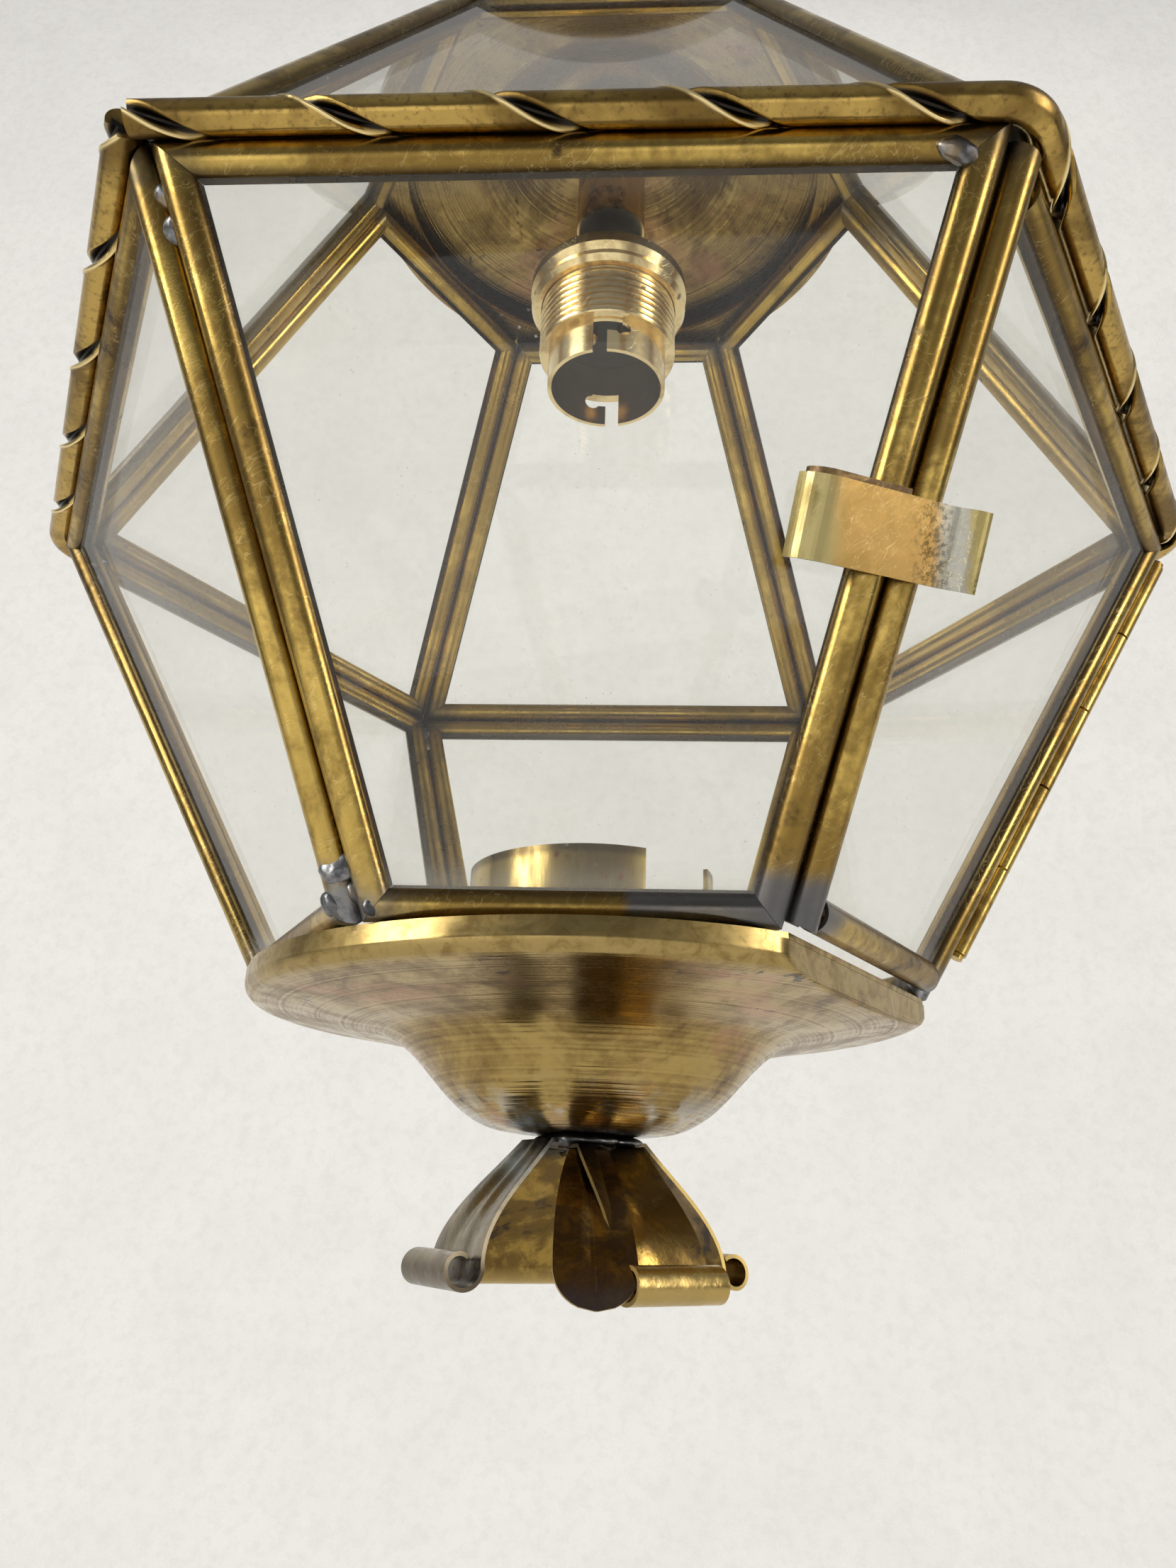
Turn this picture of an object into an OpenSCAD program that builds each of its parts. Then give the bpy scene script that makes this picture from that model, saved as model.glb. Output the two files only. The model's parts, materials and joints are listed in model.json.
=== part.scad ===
// Hexagonal brass and glass hanging lantern with one hinged side.
// Units are millimetres. The origin is the point where a hook bears in the
// hanging ring. Every part is drawn about the centre of the girdle, the widest
// ring of the body, and then lowered by drop.

/* [Body] */
// Radius of the girdle, centre to corner
girdle_r = 105; // [95:1:120]
// Radius of the foot of the glazed body, centre to corner
base_r = 54.8; // [52:0.2:60]
// Height from the girdle down to the foot
base_h = 87.8; // [82:0.2:95]
// Radius of the neck of the roof, centre to corner
neck_r = 51.8; // [50:0.2:56]
// Height from the girdle up to the neck
neck_h = 86.7; // [82:0.1:95]

/* [Cames and glass] */
// Outside radius of a rolled came
came_r = 2.5; // [2.4:0.05:2.8]
// Sheet thickness of a came
came_wall = 0.6; // [0.5:0.05:0.8]
// Thickness of the panes
glass_t = 2; // [1.8:0.1:2.2]
// Clearance between a pane and the slot of its came, each side
glass_clear = 0.06; // [0.04:0.01:0.1]
// Gap between two cames that are soldered side by side
seam_gap = 0.12; // [0.08:0.01:0.2]

/* [Door] */
// Extra gap between the door and its neighbour on the latch side
door_gap_latch = 0.6; // [0.55:0.05:1]
// Extra gap between the door and its neighbour on the hinge side
door_gap_hinge = 0.4; // [0.35:0.05:0.5]
// Extra gap over the door's top rail
door_gap_top = 1.2; // [1.1:0.1:2]
// Extra gap under the door's bottom rail
door_gap_foot = 1.1; // [1:0.1:2]

/* [Hinge] */
// Outside radius of a hinge knuckle
knuckle_r = 1.5; // [1.4:0.05:1.7]
// Radius of the hinge pin
hinge_pin_r = 0.8; // [0.7:0.05:0.9]
// Running clearance of the pin in its knuckles
hinge_clear = 0.06; // [0.04:0.01:0.09]
// Number of knuckles, counted from the foot, with the odd ones on the body
knuckles = 5; // [3:2:7]
// Gap between two knuckles
knuckle_gap = 0.4; // [0.3:0.05:0.6]

/* [Latch] */
// Length of the latch strap over the seam
latch_len = 24.2; // [24:0.1:25]
// Height of the latch strap
latch_h = 10; // [8.5:0.5:11]
// Sheet thickness of the latch
latch_t = 0.6; // [0.5:0.05:0.7]
// Place of the latch along the edge, from the girdle at 0 to the foot at 1
latch_at = 0.494; // [0.44:0.002:0.56]
// Radius of the catch roll
catch_r = 2.5; // [2.3:0.05:2.6]
// Gap between the catch roll and the latch curl around it
catch_clear = 0.5; // [0.4:0.05:0.6]
// Tilt of the strap against a square crossing of the seam
latch_tilt = 4.5; // [0:0.5:6]
// Inside radius of the bend that lifts the finger lip
lip_r = 2.3; // [1.6:0.1:2.4]
// Angle that the finger lip lifts off the strap
lip_lift = 50; // [35:5:55]

/* [Rope trim] */
// Outside radius of the twisted trim
rope_r = 2.3; // [2.1:0.1:2.5]
// Length of one full twist
rope_pitch = 22.8; // [16:0.2:26]
// Turn of the slit about the trim, at the start of each side
rope_start = -120; // [-180:5:180]
// Width of the open slit
rope_slit = 1.4; // [1:0.1:2]

/* [Dishes] */
// Sheet thickness of the spun dishes
dish_wall = 0.8; // [0.6:0.1:1]
// Depth of the foot dish, rim to bottom
foot_depth = 22.2; // [21:0.2:25]
// Height of the lip of the foot dish
foot_lip = 3.6; // [3:0.2:5]
// Height of the lip of the top dish
top_lip = 5; // [4:0.5:6]
// Depth of the top dish, rim to crown
top_depth = 24; // [22:1:27]
// Thickness of the flat floor and of the seat ring
plate_t = 0.8; // [0.6:0.1:1]
// Width of the seat ring under the top dish
seat_w = 7; // [6:0.5:9]

/* [Candle ring] */
// Outside radius of the open hoop
candle_r = 20.9; // [19.5:0.1:23]
// Height of the hoop
candle_h = 19.8; // [15:0.1:21]
// Sheet thickness of the hoop
candle_t = 0.7; // [0.6:0.1:0.9]
// Angle of the gap in the hoop
candle_gap = 43; // [35:1:50]

/* [Finial] */
// Height of the finial under the dish
finial_h = 24.6; // [23:0.2:27]
// Sheet thickness of the leaves
leaf_t = 0.6; // [0.5:0.1:0.8]
// Distance from the axis at which the lower scroll leaves bend down
lower_bend = 7.5; // [7:0.1:8]
// Distance from the axis at which the upper scroll leaves bend down
upper_bend = 8.6; // [8.4:0.1:9.5]
// Distance from the axis at which the petals bend down
petal_bend = 5.8; // [5.6:0.1:6]
// Width of a lower scroll leaf, at the bend and at its foot
lower_leaf_w = [12, 14]; // [10:0.5:17]
// Width of an upper scroll leaf, at the bend and at its foot
upper_leaf_w = [10, 18]; // [8:0.5:22]
// Outside radius of the rolled end of a scroll leaf
scroll_r = 2.5; // [2.2:0.1:3]
// Distance of the rolled end of a lower scroll leaf from the axis
lower_reach = 23.2; // [22:0.2:26]
// Distance of the rolled end of an upper scroll leaf from the axis
upper_reach = 23.8; // [22:0.2:26]
// Width of a petal, at the bend and at its broadest
petal_w = [5.2, 10.6]; // [4:0.2:11]
// Distance of a petal's tip from the axis
petal_reach = 20.5; // [19.5:0.1:20.8]

/* [Lamp holder] */
// Height of the mouth of the holder over the girdle
holder_z = 35.5; // [33:0.1:38]
// Bore of the barrel, for a bayonet cap of 22 mm
lamp_bore_r = 11.2; // [11.1:0.05:11.3]
// Length of the lamp bore
lamp_bore_len = 12; // [11:0.5:13]
// Outside radius of the barrel
barrel_r = 12; // [11.9:0.1:12.6]
// Outside radius of the threaded part
thread_r = 14; // [13.8:0.1:14.2]
// Pitch of the thread ribs
thread_pitch = 1.5; // [1.3:0.1:1.8]
// Width of the bayonet slots
slot_w = 2.8; // [2.6:0.1:3]
// Depth of the bayonet slots
slot_depth = 7.4; // [7:0.1:8]
// Sideways reach of the bayonet slots
slot_hook = 4.6; // [4.2:0.1:5]
// Outside radius of the shade ring
shade_ring_r = 16.3; // [16:0.1:17]
// Radius of a contact plunger
contact_r = 2; // [1.9:0.05:2.1]
// Travel of a contact plunger
contact_stroke = 2.5; // [2:0.1:3]

/* [Suspension] */
// Outside radius of the threaded tube
tube_r = 5; // [4.8:0.1:5.2]
// Bore of the threaded tube
tube_bore_r = 4; // [3.8:0.1:4.1]
// Outside radius of the stem over the lamp holder
stem_r = 7.3; // [7:0.1:8]
// Wire radius of the loop
loop_wire_r = 2.5; // [2.3:0.1:2.7]
// Radius of the loop, centre to wire
loop_r = 11; // [10.5:0.5:12]
// Wire radius of the hanging ring
ring_wire_r = 2.25; // [2:0.05:2.5]
// Radius of the hanging ring, centre to wire
ring_r = 16; // [15:0.5:18]
// Radius of the side hole for the cable
cable_hole_r = 3; // [2.8:0.1:3.1]

/* [Hidden] */
FACES = 6;
STEP_A = 360 / FACES;
FRONT_A = -90;
DOOR = 1;
round_fn = 48;
fine_fn = 32;
hang_gap = 0.3;
thread_clear = 0.05;

// Apothems of the three rings of the body and the slopes between them
girdle_a = girdle_r * cos(STEP_A / 2);
base_a = base_r * cos(STEP_A / 2);
neck_a = neck_r * cos(STEP_A / 2);
lower_lean = atan((girdle_a - base_a) / base_h);
roof_lean = atan((girdle_a - neck_a) / neck_h);
lower_slant = norm([girdle_a - base_a, base_h]);
roof_slant = norm([girdle_a - neck_a, neck_h]);
edge_lean = atan((girdle_r - base_r) / base_h);
edge_len = norm([girdle_r - base_r, base_h]);

// Half of the angle between two panels at a sloping edge, and at the girdle
edge_half = acos(pow(cos(lower_lean), 2) * cos(STEP_A) + pow(sin(lower_lean), 2));
edge_open = 90 - edge_half / 2;
girdle_open = (180 - lower_lean - roof_lean) / 2;

// Inset of a came's axis from the edge that it shares with its twin
came_inset = (came_r + seam_gap / 2) / sin(edge_open);
rail_inset = (came_r + seam_gap / 2) / sin(girdle_open);
inset_list = [came_inset, came_inset, rail_inset, rail_inset];
door_insets = [
    came_inset + door_gap_latch,
    came_inset + door_gap_hinge,
    rail_inset + door_gap_foot,
    rail_inset + door_gap_top
];
slot_width = glass_t + 2 * glass_clear;
pane_edge = 0.5;
mitre_reach = 9;
mitre_gap = 0.04;

// The side cames of the fixed pair, seen along a sloping edge
twin_x = came_inset * sin(edge_open);
twin_z = -came_inset * cos(edge_open);

// The hinge barrel lies in the groove outside the hinge edge
hinge_z = twin_z + sqrt(pow(came_r + knuckle_r + 0.1, 2) - twin_x * twin_x);
hinge_low = edge_len * 0.1;
hinge_high = edge_len * 0.94;
knuckle_pitch = (hinge_high - hinge_low + knuckle_gap) / knuckles;
knuckle_len = knuckle_pitch - knuckle_gap;

// The catch is a strip on the body's came, rolled at its free end. The strap
// lies over it and over the door's came, and curls round the roll.
came_top = twin_z + came_r;
catch_z = came_top + 0.05;
catch_x = -twin_x - came_r - catch_r - 3.9;
catch_h = latch_h + 0.5;
curl_r = catch_r + catch_clear;
strap_z = catch_z + latch_t + 0.3;
curl_x = catch_x;
curl_z = strap_z - curl_r;
strap_end = latch_len + curl_x - curl_r - latch_t;
lip_mid_r = lip_r + latch_t / 2;
lip_x = strap_end - 2 * lip_mid_r * sin(lip_lift);

// The trim lies in the groove outside the girdle
girdle_twin_a = girdle_a - rail_inset * sin((lower_lean + roof_lean) / 2);
rope_a = girdle_twin_a + sqrt(pow(came_r + rope_r + 0.08, 2) - pow(came_r + seam_gap / 2, 2));
rope_len = 2 * rope_a * tan(STEP_A / 2) - 2 * rope_r * tan(STEP_A / 2);

// Flat floor under the bottom rails, and the dish below it
floor_top = -base_h + rail_inset * cos(lower_lean) - came_r - 0.1;
foot_rim_z = floor_top - plate_t - 0.05;
foot_rim_r = base_r + 0.6;
foot_bottom = foot_rim_z - foot_depth;
clip_a = base_a + 0.5;
seat_z = neck_h - rail_inset * cos(roof_lean) + came_r + 0.1;
top_rim_r = neck_r + 0.6;
top_crown = seat_z + top_depth;

// Suspension heights, from the crown of the top dish upwards
washer_t = 1.5;
washer_r = 9;
nut_af = 14;
nut_h = 4;
boss_r = 7.5;
boss_h = 16;
washer_z = top_crown + 0.05;
nut_z = washer_z + washer_t + 0.05;
boss_z = nut_z + nut_h + 0.05;
boss_top = boss_z + boss_h;
cable_z = boss_z + boss_h * 0.66;
tube_top = cable_z - cable_hole_r - 0.4;
loop_z = boss_top + loop_r - 1;
ring_low = loop_z + loop_r - loop_wire_r - ring_wire_r - hang_gap;
ring_z = ring_low + ring_r;
drop = ring_z + ring_r - ring_wire_r;

finial_hub_r = 5;

// Turn of each arm of the finial, and how much shorter it hangs than the whole
upper_turns = [33, 213];
lower_turns = [-51.5, 118.5];
petal_turns = [-78, 102];
upper_rise = 2.6;
lower_rise = 1.7;
petal_rise = 1;
upper_taper = 0.4;
lower_taper = 0.25;

// Each strip of the finial lies one level under the one before
leaf_level = leaf_t + 0.2;

// Lamp holder heights, from the mouth upwards
bore_top = holder_z + lamp_bore_len;
thread_z = holder_z + slot_depth + 0.3;
shade_ring_z = thread_z + 12.9;
shade_ring_h = 5.4;
holder_top = shade_ring_z + 1.5;
insulator_z = bore_top + 3;
insulator_h = 9;
well_top = insulator_z + insulator_h - 1.2;
undercut_r = lamp_bore_r + 0.4;
contact_x = 4;
contact_low = bore_top + 0.3;
contact_top = insulator_z + 2.5;
cap_r = thread_r + 0.9;
cap_z = holder_top - 1.4;
cap_h = 10.4;
collar_r = 6.8;
collar_z = cap_z + cap_h + 0.05;
collar_h = 10;
stem_z = collar_z + collar_h + 0.05;

function unit(v) = v / norm(v);
function slope(w0, w1, h) = (w1 - w0) / 2 / h;

// Corners of a trapezoid pane moved in by the insets of its four sides,
// [left, right, foot, top], listed from the lower left counter-clockwise.
function inset_quad(w0, w1, h, d) =
    let (
        s = slope(w0, w1, h),
        k = sqrt(1 + s * s),
        y0 = d[2],
        y1 = h - d[3]
    )
    [
        [-w0 / 2 - s * y0 + d[0] * k, y0],
        [w0 / 2 + s * y0 - d[1] * k, y0],
        [w0 / 2 + s * y1 - d[1] * k, y1],
        [-w0 / 2 - s * y1 + d[0] * k, y1]
    ];

// Outward bisector at one corner of a quad
function bisector(q, i) =
    -unit(unit(q[(i + 3) % 4] - q[i]) + unit(q[(i + 1) % 4] - q[i]));

// Strip of the plane that one side keeps between its two mitres
function mitre_strip(q, i) =
    let (
        side = unit(q[(i + 1) % 4] - q[i]),
        a = q[i] + mitre_gap * side,
        b = q[(i + 1) % 4] - mitre_gap * side,
        u = mitre_reach * bisector(q, i),
        v = mitre_reach * bisector(q, (i + 1) % 4)
    )
    [a + u, b + v, b - v, a - u];

// Azimuth of the middle of a face, and of the edge after it
function face_a(k) = FRONT_A + STEP_A * k;
function edge_a(k) = face_a(k) + STEP_A / 2;

// Edge widths of the panels
base_w = base_r;
girdle_w = girdle_r;
neck_w = neck_r;

// A point on a smooth cubic between p0 and p3
function cubic(p, t) =
    pow(1 - t, 3) * p[0] + 3 * pow(1 - t, 2) * t * p[1]
    + 3 * (1 - t) * t * t * p[2] + t * t * t * p[3];

module hang() {
    translate([0, 0, -drop])
        children();
}

// Panel frames of reference: x along the girdle, y up the slope, z outwards
module on_lower(k) {
    rotate([0, 0, face_a(k)])
        translate([base_a, 0, -base_h])
            rotate([0, lower_lean, 0])
                rotate([90, 0, 90])
                    children();
}

module on_roof(k) {
    rotate([0, 0, face_a(k)])
        translate([girdle_a, 0, 0])
            rotate([0, -roof_lean, 0])
                rotate([90, 0, 90])
                    children();
}

// Edge frame of reference: x around, y up along the edge, z outwards
module on_edge(k, t) {
    rotate([0, 0, edge_a(k)])
        translate([girdle_r - t * (girdle_r - base_r), 0, -t * base_h])
            rotate([0, edge_lean, 0])
                rotate([90, 0, 90])
                    children();
}

module came_section() {
    difference() {
        circle(r = came_r, $fn = round_fn);
        circle(r = came_r - came_wall, $fn = round_fn);
        translate([-slot_width / 2, 0])
            square([slot_width, came_r + 1]);
    }
}

// One came from p to q, kept inside the outline, its slot to the left
module came(p, q, outline) {
    run = norm(q - p) + 2 * mitre_reach;
    intersection() {
        translate([p[0], p[1], 0])
            rotate([0, 0, atan2(q[1] - p[1], q[0] - p[0])])
                translate([-mitre_reach, 0, 0])
                    rotate([0, 90, 0])
                        linear_extrude(height = run)
                            came_section();
        linear_extrude(height = 2 * came_r + 2, center = true)
            polygon(outline);
    }
}

module mitred_frame(w0, w1, h, d) {
    q = inset_quad(w0, w1, h, d);
    for (i = [0:3]) {
        came(q[i], q[(i + 1) % 4], mitre_strip(q, i));
    }
}

module pane(w0, w1, h, d) {
    inner = [for (x = d) x + pane_edge];
    translate([0, 0, -glass_t / 2])
        linear_extrude(height = glass_t)
            polygon(inset_quad(w0, w1, h, inner));
}

module lower_frame(k) {
    color("darkgoldenrod")
        hang()
            on_lower(k)
                mitred_frame(base_w, girdle_w, lower_slant, inset_list);
}

module roof_frame(k) {
    color("darkgoldenrod")
        hang()
            on_roof(k)
                mitred_frame(girdle_w, neck_w, roof_slant, inset_list);
}

module lower_pane(k) {
    color("lightcyan", 0.4)
        hang()
            on_lower(k)
                pane(base_w, girdle_w, lower_slant, inset_list);
}

module roof_pane(k) {
    color("lightcyan", 0.4)
        hang()
            on_roof(k)
                pane(girdle_w, neck_w, roof_slant, inset_list);
}

// The door's latch stile runs through, and its two rails butt against it
module door_frame() {
    q = inset_quad(base_w, girdle_w, lower_slant, door_insets);
    along = unit(q[3] - q[0]);
    across = [along[1], -along[0]];
    butt = came_r + 0.05;
    foot_y = q[0][1] - came_r;
    top_y = q[3][1] + came_r;
    stile_s = slope(base_w, girdle_w, lower_slant);
    stile_box = [
        [q[0][0] + stile_s * came_r - mitre_reach, foot_y],
        [q[0][0] + stile_s * came_r + mitre_reach, foot_y],
        [q[3][0] - stile_s * came_r + mitre_reach, top_y],
        [q[3][0] - stile_s * came_r - mitre_reach, top_y]
    ];
    foot_run = unit(q[1] - q[0]);
    top_run = unit(q[2] - q[3]);
    foot_end = q[1] - mitre_gap * foot_run;
    top_end = q[2] - mitre_gap * top_run;
    foot_start = q[0] + butt * across;
    top_start = q[3] + butt * across;
    foot_box = [
        foot_start - mitre_reach * along,
        foot_end + mitre_reach * bisector(q, 1),
        foot_end - mitre_reach * bisector(q, 1),
        foot_start + mitre_reach * along
    ];
    top_box = [
        top_end + mitre_reach * bisector(q, 2),
        top_start + mitre_reach * along,
        top_start - mitre_reach * along,
        top_end - mitre_reach * bisector(q, 2)
    ];
    color("darkgoldenrod")
        hang()
            on_lower(DOOR) {
                came(q[0], q[1], foot_box);
                came(q[1], q[2], mitre_strip(q, 1));
                came(q[2], q[3], top_box);
                came(q[3], q[0], stile_box);
            }
}

module door_pane() {
    color("lightcyan", 0.4)
        hang()
            on_lower(DOOR)
                pane(base_w, girdle_w, lower_slant, door_insets);
}

// Rolled trim: a tube with one open slit, twisted along its length
module rope_section() {
    difference() {
        circle(r = rope_r, $fn = 10);
        translate([rope_r * 0.35, -rope_slit / 2])
            square([rope_r, rope_slit]);
    }
}

module girdle_rope(k) {
    turns = rope_len / rope_pitch;
    color("goldenrod")
        hang()
            rotate([0, 0, face_a(k)])
                translate([rope_a, -rope_len / 2, 0])
                    rotate([-90, 0, 0])
                        linear_extrude(
                            height = rope_len,
                            twist = -360 * turns,
                            slices = ceil(turns * 7),
                            convexity = 4
                        )
                            rotate(rope_start)
                                rope_section();
}

module rope_front() {
    girdle_rope(0);
}

module rope_front_right() {
    girdle_rope(1);
}

module rope_back_right() {
    girdle_rope(2);
}

module rope_back() {
    girdle_rope(3);
}

module rope_back_left() {
    girdle_rope(4);
}

module rope_front_left() {
    girdle_rope(5);
}

// Half outline of a dish, from the rim to the middle: radius and height under
// the rim, for a dish of the given rim radius, depth, lip and middle radius.
function dish_line(rim, depth, lip_h, mid) =
    let (
        shelf = rim * 0.62,
        run = rim - shelf,
        y_shelf = lip_h + run * 0.17,
        steps = 7
    )
    concat(
        [[rim, 0], [rim, lip_h - 1.4], [rim - 0.7, lip_h - 0.4], [rim - 2.2, lip_h + 0.3]],
        [[shelf + run * 0.4, y_shelf - run * 0.07]],
        [
            for (i = [0:steps])
                cubic(
                    [
                        [shelf, y_shelf],
                        [shelf - rim * 0.14, y_shelf + 1.2],
                        [shelf - rim * 0.2, depth - 1.8],
                        [mid + rim * 0.12, depth - 0.5]
                    ],
                    i / steps
                )
        ],
        [[mid, depth]]
    );

module dish_shell(rim, depth, lip_h, mid, hole) {
    outer = dish_line(rim, depth, lip_h, mid);
    last = len(outer) - 1;
    inner = [
        for (i = [last:-1:0])
            [outer[i][0] - (i < 4 ? dish_wall : dish_wall * 0.55), outer[i][1] - (i < 2 ? 0 : dish_wall)]
    ];
    rotate_extrude($fn = 96)
        polygon(concat(
            outer,
            [[hole, depth], [hole, depth - dish_wall]],
            inner
        ));
}

// Straight cut that frees the door's bottom rail
module door_clip(z0, z1) {
    side = 2 * foot_rim_r;
    rotate([0, 0, face_a(DOOR)])
        translate([clip_a, -side / 2, z0])
            cube([side, side, z1 - z0]);
}

module foot_dish() {
    color("peru")
        hang()
            difference() {
                translate([0, 0, foot_rim_z])
                    mirror([0, 0, 1])
                        dish_shell(foot_rim_r, foot_depth, foot_lip, foot_rim_r * 0.12, 0);
                door_clip(foot_bottom - 1, foot_rim_z + 1);
            }
}

module floor_plate() {
    color("peru")
        hang()
            difference() {
                translate([0, 0, floor_top - plate_t])
                    cylinder(r = foot_rim_r - 0.3, h = plate_t, $fn = 96);
                door_clip(floor_top - plate_t - 1, floor_top + 1);
            }
}

module candle_ring() {
    gap_mid = -41.5;
    far = 2 * candle_r;
    color("peru")
        hang()
            translate([0, 0, floor_top + 0.05])
                rotate([0, 0, gap_mid])
                    difference() {
                        cylinder(r = candle_r, h = candle_h, $fn = round_fn);
                        translate([0, 0, -1])
                            cylinder(r = candle_r - candle_t, h = candle_h + 2, $fn = round_fn);
                        translate([0, 0, -1])
                            linear_extrude(height = candle_h + 2)
                                polygon([
                                    [0, 0],
                                    far * [cos(candle_gap / 2), -sin(candle_gap / 2)],
                                    far * [cos(candle_gap / 2), sin(candle_gap / 2)]
                                ]);
                    }
}

// A bent strip that follows a list of [reach, height, half width, ridge].
// It is closed into one solid of even thickness.
function strip_normals(line) =
    [
        for (i = [0:len(line) - 1])
            let (
                a = line[max(i - 1, 0)],
                b = line[min(i + 1, len(line) - 1)],
                d = unit([b[0] - a[0], b[1] - a[1]])
            )
            [d[1], -d[0]]
    ];

module bent_strip(line, t) {
    n = len(line);
    nrm = strip_normals(line);
    across = [-1, -0.5, 0, 0.5, 1];
    m = len(across);
    points = [
        for (side = [0, 1])
            for (i = [0:n - 1])
                for (j = [0:m - 1])
                    let (
                        p = line[i],
                        lift = p[3] * (1 - abs(across[j])) + side * t
                    )
                    [p[0] + nrm[i][0] * lift, across[j] * p[2], p[1] + nrm[i][1] * lift]
    ];
    function at(side, i, j) = side * n * m + i * m + j;
    faces = concat(
        [for (i = [0:n - 2]) for (j = [0:m - 2])
            [at(0, i, j), at(0, i, j + 1), at(0, i + 1, j + 1), at(0, i + 1, j)]],
        [for (i = [0:n - 2]) for (j = [0:m - 2])
            [at(1, i, j), at(1, i + 1, j), at(1, i + 1, j + 1), at(1, i, j + 1)]],
        [for (i = [0:n - 2])
            [at(0, i, 0), at(0, i + 1, 0), at(1, i + 1, 0), at(1, i, 0)]],
        [for (i = [0:n - 2])
            [at(0, i, m - 1), at(1, i, m - 1), at(1, i + 1, m - 1), at(0, i + 1, m - 1)]],
        [for (j = [0:m - 2])
            [at(0, 0, j), at(1, 0, j), at(1, 0, j + 1), at(0, 0, j + 1)]],
        [for (j = [0:m - 2])
            [at(0, n - 1, j), at(0, n - 1, j + 1), at(1, n - 1, j + 1), at(1, n - 1, j)]]
    );
    polyhedron(points = points, faces = faces, convexity = 8);
}

// One arm of a scroll strip, from the bend out to the free edge of its roll.
// w is its width at the bend and at the foot, and taper narrows the roll.
function scroll_arm(depth, bend, reach, w, taper) =
    let (
        wall = reach - scroll_r,
        roll_z = scroll_r - depth,
        path = [[bend, 0], [bend + 5.5, -depth * 0.3], [wall, -depth * 0.55], [wall, roll_z]],
        bends = 8,
        curls = 11,
        curl_a = 28,
        crease = 0.7
    )
    concat(
        [
            for (i = [0:bends])
                let (s = i / bends, p = cubic(path, s))
                [p[0], p[1], (w[0] + (w[1] - w[0]) * s) / 2, crease * sin(160 * s + 10)]
        ],
        [
            for (i = [1:curls])
                let (a = 180 + i * curl_a, s = i / curls, r = scroll_r - leaf_t * s * 0.2)
                [
                    reach + r * cos(a),
                    roll_z + r * sin(a),
                    w[1] / 2 * (1 - taper * s),
                    0.2 * (1 - s)
                ]
        ]
    );

// One petal, from the bend to its round tip
function petal_arm(depth) =
    let (
        path = [
            [petal_bend, 0],
            [petal_bend + 1.5, -depth * 0.2],
            [petal_reach - 1.5, -depth * 0.65],
            [petal_reach, -depth]
        ],
        steps = 16,
        swell_at = 0.8,
        tip_run = 0.225
    )
    [
        for (i = [0:steps])
            let (
                s = i / steps,
                p = cubic(path, s),
                swell = (petal_w[0] + (petal_w[1] - petal_w[0]) * sin(90 * min(s / swell_at, 1))) / 2,
                tip = sqrt(max(1 - pow(max(s + tip_run - 1, 0) / tip_run, 2), 0))
            )
            [p[0], p[1], max(swell * tip, 0.6), 0.6 * sin(180 * s)]
    ];

// A strip of the finial: two arms that start from one round middle
module finial_strip(turns, level, arm) {
    color("darkgoldenrod")
        hang()
            translate([0, 0, foot_bottom - level])
                union() {
                    translate([0, 0, -leaf_t])
                        cylinder(r = finial_hub_r, h = leaf_t, $fn = fine_fn);
                    for (turn = turns)
                        rotate([0, 0, turn])
                            bent_strip(concat([[1, 0, arm[0][2], 0]], arm), leaf_t);
                }
}

module finial_scroll_upper() {
    depth = finial_h - upper_rise - leaf_level;
    arm = scroll_arm(depth, upper_bend, upper_reach, upper_leaf_w, upper_taper);
    finial_strip(upper_turns, leaf_level, arm);
}

module finial_scroll_lower() {
    depth = finial_h - lower_rise - 2 * leaf_level;
    arm = scroll_arm(depth, lower_bend, lower_reach, lower_leaf_w, lower_taper);
    finial_strip(lower_turns, 2 * leaf_level, arm);
}

module finial_petals() {
    depth = finial_h - petal_rise - 3 * leaf_level;
    finial_strip(petal_turns, 3 * leaf_level, petal_arm(depth));
}

// Part of a flat ring between two angles, drawn in a plane
module ring_sector(r0, r1, a0, a1) {
    mid = (a0 + a1) / 2;
    far = 3 * r1;
    intersection() {
        difference() {
            circle(r = r1, $fn = fine_fn);
            circle(r = r0, $fn = fine_fn);
        }
        polygon([
            [0, 0],
            far * [cos(a0), sin(a0)],
            far * [cos((a0 + mid) / 2), sin((a0 + mid) / 2)],
            far * [cos(mid), sin(mid)],
            far * [cos((mid + a1) / 2), sin((mid + a1) / 2)],
            far * [cos(a1), sin(a1)]
        ]);
    }
}

// The seam's frame of reference, tilted as the strap is
module on_latch() {
    on_edge(0, latch_at)
        rotate([0, 0, latch_tilt])
            rotate([90, 0, 0])
                children();
}

// Points along an arc, both ends included
function arc_points(c, r, a0, a1, steps) = [
    for (i = [0:steps])
        let (a = a0 + (a1 - a0) * i / steps)
        c + r * [cos(a), sin(a)]
];

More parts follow.
